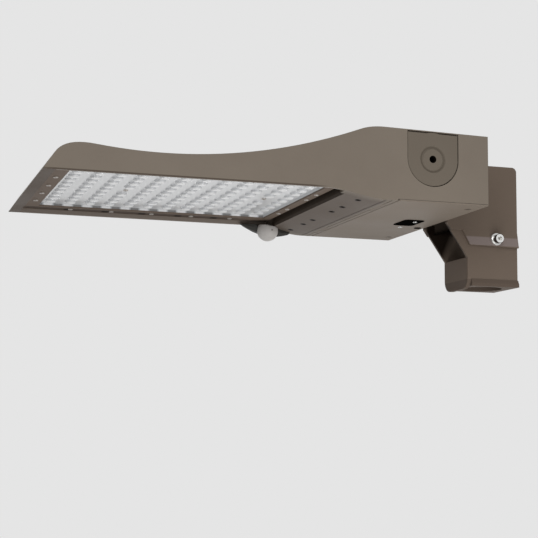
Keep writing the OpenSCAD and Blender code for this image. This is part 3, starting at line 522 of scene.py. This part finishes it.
def make_optic_group():
    """Optic tray: painted highlight on cores, painted shade on feet and walls, painted
    glow.
    """
    group, start, end = new_group(
        "optic_tray",
        [
            ("Plate Colour", COLOUR, None),
            ("Wall Colour", COLOUR, None),
            ("Foot Colour", COLOUR, None),
            ("Core Colour", COLOUR, None),
            ("Glow Colour", COLOUR, None),
            ("Gloss Low", NUMBER, 0.1),
            ("Gloss High", NUMBER, 0.24),
            ("Ripple Scale", NUMBER, 700.0),
            ("Pitch", NUMBER, OPTIC_PITCH),
        ],
        SURFACE_OUTPUTS + [("Glow", COLOUR)],
    )
    x, y, z = (pick(group, start["Vector"], axis) for axis in "XYZ")
    offsets = []
    for place, shift in ((x, WINDOW_MID - REAR_X), (y, OPTIC_PITCH / 2)):
        moved = math_node(group, "ADD", place, shift)
        step = math_node(group, "DIVIDE", moved, start["Pitch"])
        off = math_node(group, "SUBTRACT", math_node(group, "FRACT", step), 0.5)
        offsets.append(product(group, off, start["Pitch"]))
    radius = distance(group, *offsets)
    hangs = below(group, z, LENS_Z - CRISP, CRISP)
    in_foot = product(group, hangs, below(group, radius, OPTIC_FOOT_R, CRISP))
    in_core = product(group, hangs, below(group, radius, OPTIC_CORE_R, OPTIC_CORE_SOFT))
    side = math_node(group, "ABSOLUTE", y)
    on_wall = product(group, hangs, near(group, side, WALL_Y, WALL_HALF_W, 1.5 * CRISP))

    def layered(plate, wall, foot):
        walled = mix_colours(group, on_wall, plate, wall)
        footed = mix_colours(group, in_foot, walled, foot)
        return mix_colours(group, in_core, footed, start["Core Colour"])

    plate, wall, foot = (start[f"{part} Colour"] for part in ("Plate", "Wall", "Foot"))
    ripple = noise(group, start["Vector"], start["Ripple Scale"], detail=2.0)
    put_out(
        group,
        end,
        Colour=layered(plate, wall, foot),
        Roughness=gloss(group, ripple, start["Gloss Low"], start["Gloss High"]),
        Height=ripple,
        Glow=layered(start["Glow Colour"], BLACK, BLACK),
    )
    return group


COATING = make_coating_group()
MOULDING = make_moulding_group()
MACHINING = make_machining_group()
SHADE = make_shade_group()
NOTCH_SHADE = make_notch_group()
HUB_SHADE = make_hub_group()
SOCKET_HEAD = make_bolt_group()
OPTIC_TRAY = make_optic_group()

# Finishes


def place_group(tree, group, **values):
    """Places a shader group in a material, on the piece's own coordinates."""
    place = tree.nodes.new("ShaderNodeTexCoord").outputs["Object"]
    return add(tree, "ShaderNodeGroup", {"node_tree": group}, Vector=place, **values)


def finish_material(name, group, settings, bump, soft_edge=0.0, **values):
    """A material whose colour, gloss and bump come from one of the groups above.

    settings are for its shader and values for the group.
    """
    made = bpy.data.materials.new(name)
    made.use_nodes = True
    tree = made.node_tree
    shader = tree.nodes["Principled BSDF"]
    for label, value in settings.items():
        shader.inputs[label].default_value = value
    effect = place_group(tree, group, **values)
    relief = add(
        tree,
        "ShaderNodeBump",
        Strength=bump,
        Distance=BUMP_DEPTH,
        Height=effect.outputs["Height"],
    )
    if soft_edge:
        edge = add(tree, "ShaderNodeBevel", {"samples": 4}, Radius=soft_edge)
        tree.links.new(edge.outputs["Normal"], relief.inputs["Normal"])
    tree.links.new(effect.outputs["Colour"], shader.inputs["Base Color"])
    tree.links.new(effect.outputs["Roughness"], shader.inputs["Roughness"])
    tree.links.new(relief.outputs["Normal"], shader.inputs["Normal"])
    return made


def coat(name, colour, worn, low=0.42, high=0.56, bump=0.25):
    """Powder coat, with the soft edges of a casting."""
    return finish_material(
        name,
        COATING,
        {"Specular IOR Level": 0.06},
        bump,
        SOFT_EDGE_R,
        Colour=colour,
        Worn_Colour=worn,
        Gloss_Low=low,
        Gloss_High=high,
    )


def moulded(name, colour, pale, low=0.4, high=0.6, specular=0.5):
    """Moulded plastic or rubber."""
    return finish_material(
        name,
        MOULDING,
        {"Specular IOR Level": specular},
        bump=0.2,
        Colour=colour,
        Pale_Colour=pale,
        Gloss_Low=low,
        Gloss_High=high,
    )


def machined(name, colour, dull, low=0.16, high=0.34):
    """Bare metal."""
    return finish_material(
        name,
        MACHINING,
        {"Metallic": 1.0},
        bump=0.15,
        Colour=colour,
        Dull_Colour=dull,
        Gloss_Low=low,
        Gloss_High=high,
    )


def clear_moulding(name):
    """The clear moulded tray over the white board, with its optics."""
    made = finish_material(
        name,
        OPTIC_TRAY,
        {"Transmission Weight": 0.18, "IOR": 1.49, "Emission Strength": 0.05},
        bump=0.06,
        # Painted highlight on the optics' cores, painted shade on their feet and the
        # side walls
        Plate_Colour=srgb(236, 237, 238),
        Wall_Colour=srgb(150, 149, 148),
        Foot_Colour=srgb(196, 198, 201),
        Core_Colour=srgb(255, 255, 255),
        Glow_Colour=srgb(140, 140, 142),
    )
    # Painted light: the plate and the optics' cores glow a little, though the lamp is
    # off
    tree = made.node_tree
    effect = next(node for node in tree.nodes if node.type == "GROUP")
    shader = tree.nodes["Principled BSDF"]
    tree.links.new(effect.outputs["Glow"], shader.inputs["Emission Color"])
    return made


def mark(made, group, **values):
    """Places a group between a material's colour and its shader."""
    tree = made.node_tree
    painted = tree.nodes["Principled BSDF"].inputs["Base Color"]
    before = painted.links[0].from_socket
    effect = place_group(tree, group, Colour=before, **values)
    tree.links.new(effect.outputs["Colour"], painted)


def shade(made, colour, boxes, **values):
    """Tones a material inside boxes, each given as its middle and its reach."""
    for middle, reach in boxes:
        mark(made, SHADE, Shade=colour, Middle=middle, Reach=reach, **values)


def both_sides(x, y, z, reach):
    """The same box on the near and the far side."""
    return [((x, side * y, z), reach) for side in SIDES]


HOUSING_COAT = coat("bronze_powder_coat", srgb(128, 118, 107), srgb(142, 132, 120))
DOOR_COAT = coat("bronze_door_coat", srgb(131, 120, 109), srgb(143, 132, 120))
COVER_COAT = coat("bronze_cover_coat", srgb(113, 104, 93), srgb(125, 116, 105))
FRAME_COAT = coat(
    "bronze_frame_coat", srgb(115, 101, 90), srgb(127, 113, 101), low=0.5, high=0.62
)
FITTER_COAT = coat(
    "dark_bronze_coat",
    srgb(112, 99, 88),
    srgb(124, 111, 100),
    low=0.46,
    high=0.6,
    bump=0.35,
)
SCREW_COAT = coat(
    "bronze_screw_coat", srgb(104, 95, 86), srgb(118, 109, 100), low=0.4, high=0.55
)
STEEL = machined("stainless_steel", srgb(224, 224, 222), srgb(196, 196, 194))
SCREW_STEEL = machined(
    "passivated_screws", srgb(192, 186, 180), srgb(168, 163, 157), low=0.3, high=0.45
)
CASE_METAL = machined(
    "driver_case_metal", srgb(196, 198, 200), srgb(176, 178, 180), low=0.3, high=0.45
)
BLACK_MOULDING = moulded(
    "black_moulding", srgb(8, 8, 7), srgb(16, 15, 14), low=0.55, high=0.7, specular=0.0
)
SENSOR_MOULDING = moulded(
    "sensor_base_moulding",
    srgb(44, 42, 38),
    srgb(56, 54, 50),
    low=0.45,
    high=0.6,
    specular=0.3,
)
RUBBER = moulded(
    "black_silicone", srgb(24, 24, 24), srgb(36, 36, 36), low=0.6, high=0.8
)
BLUE_MOULDING = moulded("blue_potting_case", srgb(40, 66, 140), srgb(54, 80, 152))
WHITE_MOULDING = moulded("white_moulding", srgb(228, 227, 220), srgb(236, 235, 230))
CIRCUIT_GREEN = moulded(
    "circuit_green", srgb(44, 92, 52), srgb(60, 108, 66), low=0.3, high=0.45
)
BOARD_WHITE = moulded(
    "white_board_mask", srgb(232, 234, 235), srgb(240, 242, 243), low=0.3, high=0.45
)
PHOSPHOR = moulded(
    "led_phosphor", srgb(240, 214, 120), srgb(246, 226, 150), low=0.3, high=0.4
)
FROST = moulded(
    "frosted_dome", srgb(204, 200, 196), srgb(216, 211, 207), low=0.3, high=0.45
)
CLEAR = clear_moulding("clear_optic")
# Painted shade: a grey socket and a dark side on the steel bolt
BOLT = finish_material(
    "socket_head_bolt",
    SOCKET_HEAD,
    {"Metallic": 1.0},
    bump=0.1,
    End_Colour=srgb(236, 236, 234),
    Socket_Colour=srgb(150, 148, 144),
    Side_Colour=srgb(72, 66, 62),
)

# Places on the housing and the light engine with painted shade, or painted light that
# makes them paler. They are laid over each other in the order of the calls below.
AIR_SLOT = [((-0.27725, 0.0, DOOR_Z + 0.02), (0.0036, 0.1536, 0.0145))]
ENGINE_EDGES = both_sides(-0.49, 0.156, FRAME_Z, (0.165, 0.0105, 0.003))
RIM_STRIPS = both_sides(-0.47, 0.1655, FRAME_Z - 0.0028, (0.2, 0.0058, 0.0044))
FLANK_EDGES = both_sides(-0.49, HALF_W, RIM_Z + 0.0006, (0.178, 0.0006, 0.0014))
STEP = [((-0.245, 0.0, DOOR_Z + 0.005), (0.029, 0.161, 0.0075))]
WELL_X = -0.249
WELL_SHARES = (-0.81, -0.47, -0.23, 0.23, 0.47, 0.81)
WELL_Z = DOOR_Z + 0.006
WELL_REACH = (0.0042, 0.006, 0.008)
WELLS = [((WELL_X, share * HALF_W, WELL_Z), WELL_REACH) for share in WELL_SHARES]
NOSE_RIM = [((-0.6632, 0.0, RIM_Z), (0.0088, 0.18, 0.0009))]

# Painted shade in the air slot
shade(HOUSING_COAT, srgb(52, 42, 33), AIR_SLOT)
# Painted shade along the light engine's side edges
shade(FRAME_COAT, srgb(74, 64, 57), ENGINE_EDGES, Strength=0.8)
# Painted light: paler strips on the rim's inner walls
shade(HOUSING_COAT, srgb(152, 141, 132), RIM_STRIPS)
# Painted shade along the flanks' lower edges
shade(HOUSING_COAT, srgb(84, 74, 65), FLANK_EDGES, Strength=0.85)
# Painted shade on the step
shade(HOUSING_COAT, srgb(104, 94, 86), STEP)
# Painted shade in the six wells
shade(HOUSING_COAT, srgb(28, 22, 18), WELLS, Round=1.0, Strength=0.95)
# Painted shade on the nose rim's underside
shade(HOUSING_COAT, srgb(92, 81, 72), NOSE_RIM)
# Painted shade in the notches, on the housing and on the frame
for notched_coat in (HOUSING_COAT, FRAME_COAT):
    mark(notched_coat, NOTCH_SHADE, Notch_Colour=srgb(26, 20, 16))
# Painted shade: the ring and the hole of the side covers, on the covers and the housing
RING_SHADE, HOLE_SHADE = srgb(84, 76, 66), srgb(14, 9, 6)
for bored_coat in (HOUSING_COAT, COVER_COAT):
    mark(bored_coat, HUB_SHADE, Ring_Colour=RING_SHADE, Hole_Colour=HOLE_SHADE)

# Places on the slip fitter: the bands on the bracket's sides, the hollow from the
# collar's cheeks up into the bracket, and the flange round the collar's foot
BANDS = both_sides(0.0, 0.04415, 0.0696, (0.09, 0.001, 0.0108))
FORK_HOLLOW = [((-0.018, 0.0, 0.0695), (0.0545, 0.0362, 0.0395))]
BRACKET_HOLLOW = [((-0.0165, 0.0, 0.129), (0.052, 0.0402, 0.0465))]
FOOT_FLANGE = [((0.0, 0.0, 0.0), (0.09, 0.09, 0.0098))]
HOLLOW_SHADE = srgb(20, 12, 7)

# Painted light: paler bands on the bracket's sides
shade(FITTER_COAT, srgb(138, 126, 122), BANDS)
# Painted shade in the hollows of the fork and the bracket
shade(
    FITTER_COAT,
    HOLLOW_SHADE,
    FORK_HOLLOW,
    Fade_Low=0.135,
    Fade_High=0.165,
    Fade_Lean=2.35,
    Strength=0.95,
)
shade(FITTER_COAT, HOLLOW_SHADE, BRACKET_HOLLOW, Strength=0.95)
shade(FITTER_COAT, srgb(92, 80, 71), FOOT_FLANGE, Strength=0.7)

# A small dark mark low on the sensor's dome
DOME_MARK = [
    ((SENSOR_X + 0.0025, SENSOR_Y - DOME_R, DOOR_Z + 0.0015), (0.0014, 0.008, 0.0013))
]
shade(FROST, srgb(112, 100, 94), DOME_MARK, Strength=0.7)

# Finish of each node. The others, all small metal parts, are plain steel.
FINISHES = {
    "housing": HOUSING_COAT,
    "driver_door": DOOR_COAT,
    "side_cover_near": COVER_COAT,
    "side_cover_far": COVER_COAT,
    "lens_frame": FRAME_COAT,
    "bracket": FITTER_COAT,
    "collar": FITTER_COAT,
    "lens_plate": CLEAR,
    "led_board": BOARD_WHITE,
    "led_packages": PHOSPHOR,
    "lens_gasket": RUBBER,
    "door_gasket": RUBBER,
    "bracket_gasket": RUBBER,
    "wire_grommet": RUBBER,
    "led_driver": CASE_METAL,
    "surge_protector": BLUE_MOULDING,
    "terminal_block": WHITE_MOULDING,
    "selector_module": CIRCUIT_GREEN,
    "sensor_board": CIRCUIT_GREEN,
    "port_cover": BLACK_MOULDING,
    "breather_vent": BLACK_MOULDING,
    "sensor_base": SENSOR_MOULDING,
    "sensor_lens": FROST,
    "tilt_bolt": BOLT,
}

for node_name, node_piece in nodes.items():
    finish = FINISHES.get(node_name, STEEL)
    if not node_piece.material_slots:
        node_piece.data.materials.append(finish)
    for material_slot in node_piece.material_slots:
        material_slot.material = finish

# Pieces grown with Geometry Nodes

# Screws: the sides of head and shank, the most that one is turned, in radians, and the
# angle over which an edge stays sharp, in degrees
HEAD_SIDES = 24
SHANK_SIDES = 16
SCREW_TURN = 1.0
SCREW_SEED = 7
SCREW_SMOOTH = 38

# How many times the dome's first twenty faces are divided into four
DOME_STEPS = 4


def new_grower(name, inputs):
    """A Geometry Nodes tree that turns points into pieces of one material."""
    inputs = [("Geometry", GEOMETRY, None)] + inputs
    inputs.append(("Material", "NodeSocketMaterial", None))
    return new_tree(name, "GeometryNodeTree", inputs, [("Geometry", GEOMETRY)])


def finish_grower(tree, start, end, instances):
    """Realizes the instances, gives them the material and ends the tree."""
    whole = add(tree, "GeometryNodeRealizeInstances", Geometry=instances.outputs[0])
    painted = add(
        tree,
        "GeometryNodeSetMaterial",
        Geometry=whole.outputs[0],
        Material=start["Material"],
    )
    put_out(tree, end, Geometry=painted.outputs[0])


def cylinder(tree, sides, radius, depth):
    """An upright cylinder about the origin."""
    return add(
        tree,
        "GeometryNodeMeshCylinder",
        {"fill_type": "NGON"},
        Vertices=sides,
        Radius=radius,
        Depth=depth,
    )


def scaled_top(tree, mesh, top, scale):
    """Draws the top faces in towards their middle."""
    node = add(
        tree, "GeometryNodeScaleElements", Geometry=mesh, Selection=top, Scale=scale
    )
    return node.outputs[0]


def extruded(tree, mesh, top, height, separate=False):
    """Extrudes the top faces, and gives the new mesh and its new top."""
    node = add(
        tree,
        "GeometryNodeExtrudeMesh",
        Mesh=mesh,
        Selection=top,
        Offset_Scale=height,
        Individual=separate,
    )
    return node.outputs["Mesh"], node.outputs["Top"]


def raised(tree, mesh, height):
    """Moves a mesh up."""
    offset = add(tree, "ShaderNodeCombineXYZ", Z=height).outputs[0]
    node = add(tree, "GeometryNodeSetPosition", Geometry=mesh, Offset=offset)
    return node.outputs[0]


def point_parts(tree):
    """The three coordinates of each point."""
    place = tree.nodes.new("GeometryNodeInputPosition").outputs[0]
    return [pick(tree, place, axis) for axis in "XYZ"]


def make_screw_grower():
    """Screws on the points of a mesh, heads down.

    Each has a low domed head with a lobed drive recess, and a plain shank.
    """
    tree, start, end, keys = new_grower(
        "domed_screws",
        [
            ("Head Radius", NUMBER, 0.0034),
            ("Head Height", NUMBER, 0.0014),
            ("Dome Share", NUMBER, 0.8),
            ("Recess Share", NUMBER, 0.62),
            ("Recess Depth", NUMBER, 0.0009),
            ("Lobes", NUMBER, 6.0),
            ("Lobe Share", NUMBER, 0.16),
            ("Shank Radius", NUMBER, 0.0019),
            ("Shank Length", NUMBER, 0.011),
        ],
    )
    half = product(tree, start["Head Height"], 0.5)
    disc = cylinder(tree, HEAD_SIDES, start["Head Radius"], half)
    mesh = raised(tree, disc.outputs["Mesh"], product(tree, half, 0.5))
    mesh, top = extruded(tree, mesh, disc.outputs["Top"], half)
    mesh = scaled_top(tree, mesh, top, start["Dome Share"])
    mesh, top = extruded(tree, mesh, top, 0.0)
    mesh = scaled_top(tree, mesh, top, start["Recess Share"])

    # The recess's rim swings in and out round the head, which makes its lobes
    x, y, _ = point_parts(tree)
    turn = product(tree, math_node(tree, "ARCTAN2", y, x), start["Lobes"])
    swing = product(tree, math_node(tree, "COSINE", turn), start["Lobe Share"])
    flat = add(tree, "ShaderNodeCombineXYZ", X=x, Y=y).outputs[0]
    push = add(
        tree, "ShaderNodeVectorMath", {"operation": "SCALE"}, Vector=flat, Scale=swing
    )
    lobed = add(
        tree,
        "GeometryNodeSetPosition",
        Geometry=mesh,
        Selection=top,
        Offset=push.outputs[0],
    )
    deep = product(tree, start["Recess Depth"], -1.0)
    head, _ = extruded(tree, lobed.outputs[0], top, deep)

    shank = cylinder(tree, SHANK_SIDES, start["Shank Radius"], start["Shank Length"])
    sunk = product(tree, start["Shank Length"], -0.5)
    screw = tree.nodes.new("GeometryNodeJoinGeometry")
    for piece in (head, raised(tree, shank.outputs["Mesh"], sunk)):
        tree.links.new(piece, screw.inputs[0])
    spin = add(
        tree,
        "FunctionNodeRandomValue",
        {"data_type": "FLOAT"},
        Min=0.0,
        Max=SCREW_TURN,
        Seed=SCREW_SEED,
    )
    turned = add(tree, "ShaderNodeCombineXYZ", X=math.pi, Z=spin.outputs["Value"])
    screws = add(
        tree,
        "GeometryNodeInstanceOnPoints",
        Points=start["Geometry"],
        Instance=screw.outputs[0],
        Rotation=turned.outputs[0],
    )
    finish_grower(tree, start, end, screws)
    return tree, keys


def make_dome_grower():
    """Domes of many small six-sided facets on the points of a mesh.

    Each is pressed flat along a slope that passes Top Height above its middle.
    """
    tree, start, end, keys = new_grower(
        "faceted_dome",
        [
            ("Radius", NUMBER, DOME_R - DOME_GAP),
            ("Facet Height", NUMBER, 0.0003),
            ("Facet Share", NUMBER, 0.8),
            ("Top Height", NUMBER, 0.0064),
            ("Top Slope", NUMBER, -0.16),
        ],
    )
    ball = add(
        tree,
        "GeometryNodeMeshIcoSphere",
        Radius=start["Radius"],
        Subdivisions=DOME_STEPS,
    )
    cells = add(tree, "GeometryNodeDualMesh", Mesh=ball.outputs["Mesh"])
    mesh, top = extruded(
        tree, cells.outputs[0], True, start["Facet Height"], separate=True
    )
    mesh = scaled_top(tree, mesh, top, start["Facet Share"])
    x, y, z = point_parts(tree)
    slope = product(tree, x, start["Top Slope"])
    cut = math_node(tree, "ADD", slope, start["Top Height"])
    level = math_node(tree, "MINIMUM", z, cut)
    pressed = add(tree, "ShaderNodeCombineXYZ", X=x, Y=y, Z=level).outputs[0]
    dome = add(tree, "GeometryNodeSetPosition", Geometry=mesh, Position=pressed)
    domes = add(
        tree,
        "GeometryNodeInstanceOnPoints",
        Points=start["Geometry"],
        Instance=dome.outputs[0],
    )
    finish_grower(tree, start, end, domes)
    return tree, keys


def new_object(name, data):
    """An object of the scene, at the origin."""
    made = bpy.data.objects.new(name, data)
    bpy.context.scene.collection.objects.link(made)
    return made


def smooth_under(mesh, degrees):
    """Shades a mesh smooth, apart from edges sharper than this."""
    mesh.shade_smooth()
    mesh.set_sharp_from_angle(angle=math.radians(degrees))


def hand_over(piece, body, replaced):
    """Lets a piece ride with its body, in place of the node that it stands for."""
    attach(piece, body)
    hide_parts(replaced)


def grow(name, grower, points, **values):
    """Runs a tree on some points, and keeps the result as a plain mesh."""
    tree, keys = grower
    seeds = bpy.data.meshes.new(name)
    seeds.from_pydata(points, [], [])
    piece = new_object(name, seeds)
    modifier = piece.modifiers.new("grow", "NODES")
    modifier.node_group = tree
    for label, value in values.items():
        modifier[keys[label.replace("_", " ")]] = value
    graph = bpy.context.evaluated_depsgraph_get()
    made = bpy.data.meshes.new_from_object(piece.evaluated_get(graph))
    piece.modifiers.clear()
    piece.data = made
    made.name = name
    return piece


SCREWS = make_screw_grower()
DOME = make_dome_grower()


def grow_screws(name, body, replaced, points, **values):
    """A set of screws in place of the node that holds their plain solids."""
    piece = grow(name, SCREWS, points, **values)
    smooth_under(piece.data, SCREW_SMOOTH)
    hand_over(piece, body, replaced)


# Places of the lamp's screws, as in the drawing: runs, and places across as lengths or
# as shares of the half width
FRAME_START = 0.2067
FRAME_END = 0.5812
NOSE_SCREW_SHARE = 0.45
NOSE_SCREW_RUN = WINDOW_END + (FRAME_END - WINDOW_END) * NOSE_SCREW_SHARE
NOSE_SCREW_SHARES = (-0.526, -0.175, 0.175, 0.526)
REAR_SCREW_RUN = (FRAME_START + WINDOW_START) / 2
REAR_SCREW_SHARES = (-0.48, -0.24, 0.24, 0.48)
SIDE_SCREW_Y = 0.1522
SIDE_SCREW_STEPS = (-0.356, -0.178, 0.0, 0.178, 0.356)
DOOR_SCREW_RUN = 0.0145
DOOR_SCREW_Y = 0.1382
DOOR_SCREW_SINK = 0.0009
SELECTOR_SCREW_RUN = 0.04
SELECTOR_SCREW_PLACES = ((-0.0206, DOOR_Z - 0.0008), (0.0337, DOOR_Z))
frame_places = (
    [(NOSE_SCREW_RUN, share * HALF_W) for share in NOSE_SCREW_SHARES]
    + [(REAR_SCREW_RUN, share * HALF_W) for share in REAR_SCREW_SHARES]
    + [
        (WINDOW_MID + share * WINDOW_L, side * SIDE_SCREW_Y)
        for share in SIDE_SCREW_STEPS
        for side in SIDES
    ]
)
blank_y = (BLANK_ROW - (OPTIC_ROWS - 1) / 2) * OPTIC_PITCH
blank_places = [
    (WINDOW_MID - (col - (OPTIC_COLS - 1) / 2) * OPTIC_PITCH, blank_y)
    for col in BLANK_COLS
]

grow_screws(
    "frame_screw_set",
    "lamp",
    "frame_screws",
    [(REAR_X - run, y, FRAME_Z) for run, y in frame_places]
    + [(REAR_X - run, y, LENS_Z) for run, y in blank_places],
    Material=SCREW_STEEL,
)
grow_screws(
    "door_screw_set",
    "door",
    "door_screws",
    [
        (REAR_X - DOOR_SCREW_RUN, side * DOOR_SCREW_Y, DOOR_Z + DOOR_SCREW_SINK)
        for side in SIDES
    ],
    Head_Radius=0.0045,
    Head_Height=0.0007,
    Recess_Depth=0.0005,
    Shank_Length=0.0053,
    Material=SCREW_COAT,
)
grow_screws(
    "selector_screw_set",
    "door",
    "selector_screws",
    [(REAR_X - SELECTOR_SCREW_RUN, y, z) for y, z in SELECTOR_SCREW_PLACES],
    Shank_Length=0.0098,
    Material=STEEL,
)

# Sensor

# Lower edge of the sensor's base: places along it, as shares of its length from the
# dome's middle towards the nose, and levels over the door's, as shares of DOME_R
BASE_PLACES = (-0.475, -0.47, -0.35, -0.16, -0.03, 0.24, 0.47, 0.53)
BASE_LEVELS = (0.1, -0.07, -0.21, -0.35, -0.34, 0.02, 0.52, 0.72)
BASE_STEPS = 12
BASE_ROUND_R = 0.0425
BASE_END_SHARE = 0.04
BASE_MIN_H = 0.0008
BASE_END_GAP = 0.0002
BASE_TOP_GAP = 0.0003
BASE_SMOOTH = 30

# Section of a wing: shares of its half width and of its depth, round from its top
WING_SECTION = ((-1, 0), (-1, 0.5), (-0.62, 1), (0.62, 1), (1, 0.5), (1, 0))


def lamp_underside(x):
    """Height of the housing's underside at the place x along the lamp."""
    share = min(1.0, max(0.0, (REAR_X - x - STEP_START) / STEP_L))
    return DOOR_Z + RIM_H * (1 - math.cos(math.pi * share)) / 2


def base_bottom(ahead):
    """Height of the base's lower edge, this far ahead of the dome's middle."""
    place = ahead / BASE_L
    for low, high, first, last in zip(
        BASE_PLACES, BASE_PLACES[1:], BASE_LEVELS, BASE_LEVELS[1:]
    ):
        if place <= high:
            level = first + (last - first) * (place - low) / (high - low)
            return DOOR_Z + DOME_R * level
    return DOOR_Z + DOME_R * BASE_LEVELS[-1]


def wing_ring(shape, direction, reach, share):
    """One section of a wing, at this reach and this share of the wing's length."""
    seat_r = DOME_R + DOME_GAP
    tapered = math.sqrt(max(BASE_END_SHARE, 1 - (reach / BASE_ROUND_R) ** 2))
    ring = []
    for width, depth in WING_SECTION:
        y = BASE_Y + width * BASE_HALF_W * tapered
        seat = math.sqrt(max(0.0, seat_r**2 - (y - SENSOR_Y) ** 2))
        ahead = direction * (reach - (seat_r - seat) * (1 - share) ** 2)
        top = lamp_underside(SENSOR_X - ahead) - BASE_TOP_GAP
        bottom = min(base_bottom(ahead), top - BASE_MIN_H)
        z = top + (bottom - top) * depth
        ring.append(shape.verts.new((SENSOR_X - ahead, y, z)))
    return ring


def make_sensor_base():
    """Two wings that taper away from the dome, fitted to the underside of the lamp."""
    shape = bmesh.new()
    root = DOME_R + DOME_GAP
    for direction, tip_share in ((1, BASE_PLACES[-1]), (-1, -BASE_PLACES[0])):
        wing_l = tip_share * BASE_L - BASE_END_GAP - root
        shares = [i / BASE_STEPS for i in range(BASE_STEPS + 1)]
        rings = [wing_ring(shape, direction, root + wing_l * s, s) for s in shares]
        for ring, after in zip(rings, rings[1:]):
            for i in range(len(ring)):
                j = (i + 1) % len(ring)
                shape.faces.new((ring[i], ring[j], after[j], after[i]))
        shape.faces.new(rings[0])
        shape.faces.new(rings[-1])
    bmesh.ops.recalc_face_normals(shape, faces=shape.faces)
    mesh = bpy.data.meshes.new("sensor_wings")
    shape.to_mesh(mesh)
    shape.free()
    mesh.materials.append(SENSOR_MOULDING)
    smooth_under(mesh, BASE_SMOOTH)
    hand_over(new_object("sensor_wings", mesh), "lamp", "sensor_base")


make_sensor_base()
dome_piece = grow(
    "sensor_facet_dome", DOME, [(SENSOR_X, SENSOR_Y, SENSOR_Z)], Material=FROST
)
hand_over(dome_piece, "lamp", "sensor_lens")

# Studio

BACKDROP = srgb(229, 229, 229)
FLOOR_COLOUR = srgb(222, 222, 222)
WHITE = srgb(255, 255, 255)
FILL_STRENGTH = 0.27
FLOOR_X = -0.33
FLOOR_Z = -0.96
FLOOR_R = 1.6
FLOOR_FADE = (0.5, 0.98)


def make_camera():
    """The camera at the photograph's viewing angle, turned, raised and rolled."""
    cos_p, sin_p = math.cos(CAMERA_PITCH), math.sin(CAMERA_PITCH)
    cos_y, sin_y = math.cos(CAMERA_YAW), math.sin(CAMERA_YAW)
    cos_r, sin_r = math.cos(CAMERA_ROLL), math.sin(CAMERA_ROLL)
    ahead = Vector((sin_y * cos_p, cos_y * cos_p, sin_p))
    level = Vector((cos_y, -sin_y, 0))
    above = level.cross(ahead)
    right = cos_r * level + sin_r * above
    up = -sin_r * level + cos_r * above
    data = bpy.data.cameras.new("photo_camera")
    data.lens = CAMERA_LENS
    data.sensor_width = CAMERA_SENSOR
    data.clip_start, data.clip_end = CAMERA_CLIP
    camera = new_object("photo_camera", data)
    turn = Matrix((right, up, -ahead)).transposed().to_4x4()
    camera.matrix_world = Matrix.Translation(CAMERA_AT) @ turn
    bpy.context.scene.camera = camera


def make_lamp(name, at, towards, size, power):
    """A square soft box that points from one place to another."""
    data = bpy.data.lights.new(name, "AREA")
    data.shape = "SQUARE"
    data.size = size
    data.energy = power
    lamp = new_object(name, data)
    lamp.location = at
    lamp.visible_camera = False
    aim = Vector(towards) - Vector(at)
    lamp.rotation_euler = aim.to_track_quat("-Z", "Y").to_euler()


def blend_shaders(tree, share, first, second, out_kind):
    """Ends a tree with the first shader where share is 0, the second where it is 1."""
    blend = tree.nodes.new("ShaderNodeMixShader")
    values = (share, first.outputs[0], second.outputs[0])
    for socket, value in zip(blend.inputs, values):
        tree.links.new(value, socket)
    add(tree, out_kind, Surface=blend.outputs[0])


def make_world():
    """Even soft light, and the pale background that camera, glass and gloss see."""
    world = bpy.data.worlds.new("studio")
    world.use_nodes = True
    bpy.context.scene.world = world
    tree = world.node_tree
    tree.nodes.clear()
    rays = tree.nodes.new("ShaderNodeLightPath").outputs
    seen = rays["Is Camera Ray"]
    for kind in ("Is Transmission Ray", "Is Glossy Ray"):
        seen = math_node(tree, "MAXIMUM", seen, rays[kind])
    fill = add(tree, "ShaderNodeBackground", Color=WHITE, Strength=FILL_STRENGTH)
    shown = add(tree, "ShaderNodeBackground", Color=BACKDROP, Strength=1.0)
    blend_shaders(tree, seen, fill, shown, "ShaderNodeOutputWorld")


def make_floor():
    """A pale round floor that fades out at its rim and can't be seen from below."""
    mesh = bpy.data.meshes.new("floor")
    shape = bmesh.new()
    bmesh.ops.create_circle(shape, cap_ends=True, segments=96, radius=FLOOR_R)
    bmesh.ops.translate(shape, verts=shape.verts, vec=(FLOOR_X, 0.0, FLOOR_Z))
    shape.to_mesh(mesh)
    shape.free()
    made = bpy.data.materials.new("pale_floor")
    made.use_nodes = True
    tree = made.node_tree
    tree.nodes.clear()
    place = tree.nodes.new("ShaderNodeTexCoord").outputs["Object"]
    from_middle = math_node(tree, "SUBTRACT", pick(tree, place, "X"), FLOOR_X)
    radius = distance(tree, from_middle, pick(tree, place, "Y"))
    fade = spread(tree, radius, *(share * FLOOR_R for share in FLOOR_FADE))
    under = tree.nodes.new("ShaderNodeNewGeometry").outputs["Backfacing"]
    hidden = math_node(tree, "MAXIMUM", fade, under)
    paint = add(tree, "ShaderNodeBsdfDiffuse", Color=FLOOR_COLOUR)
    clear = tree.nodes.new("ShaderNodeBsdfTransparent")
    blend_shaders(tree, hidden, paint, clear, "ShaderNodeOutputMaterial")
    mesh.materials.append(made)
    new_object("floor", mesh)


make_camera()
make_world()
make_floor()
make_lamp("key", (-1.2, -2.2, 1.0), towards=(-0.4, 0.0, 0.1), size=1.6, power=25.0)
make_lamp("rim", (1.6, 0.9, 1.0), towards=(-0.2, 0.0, 0.1), size=1.2, power=13.0)
make_lamp("under", (-0.12, -0.6, -0.62), towards=(-0.3, 0.0, 0.1), size=0.9, power=4.7)

bpy.context.scene.view_settings.view_transform = "Standard"
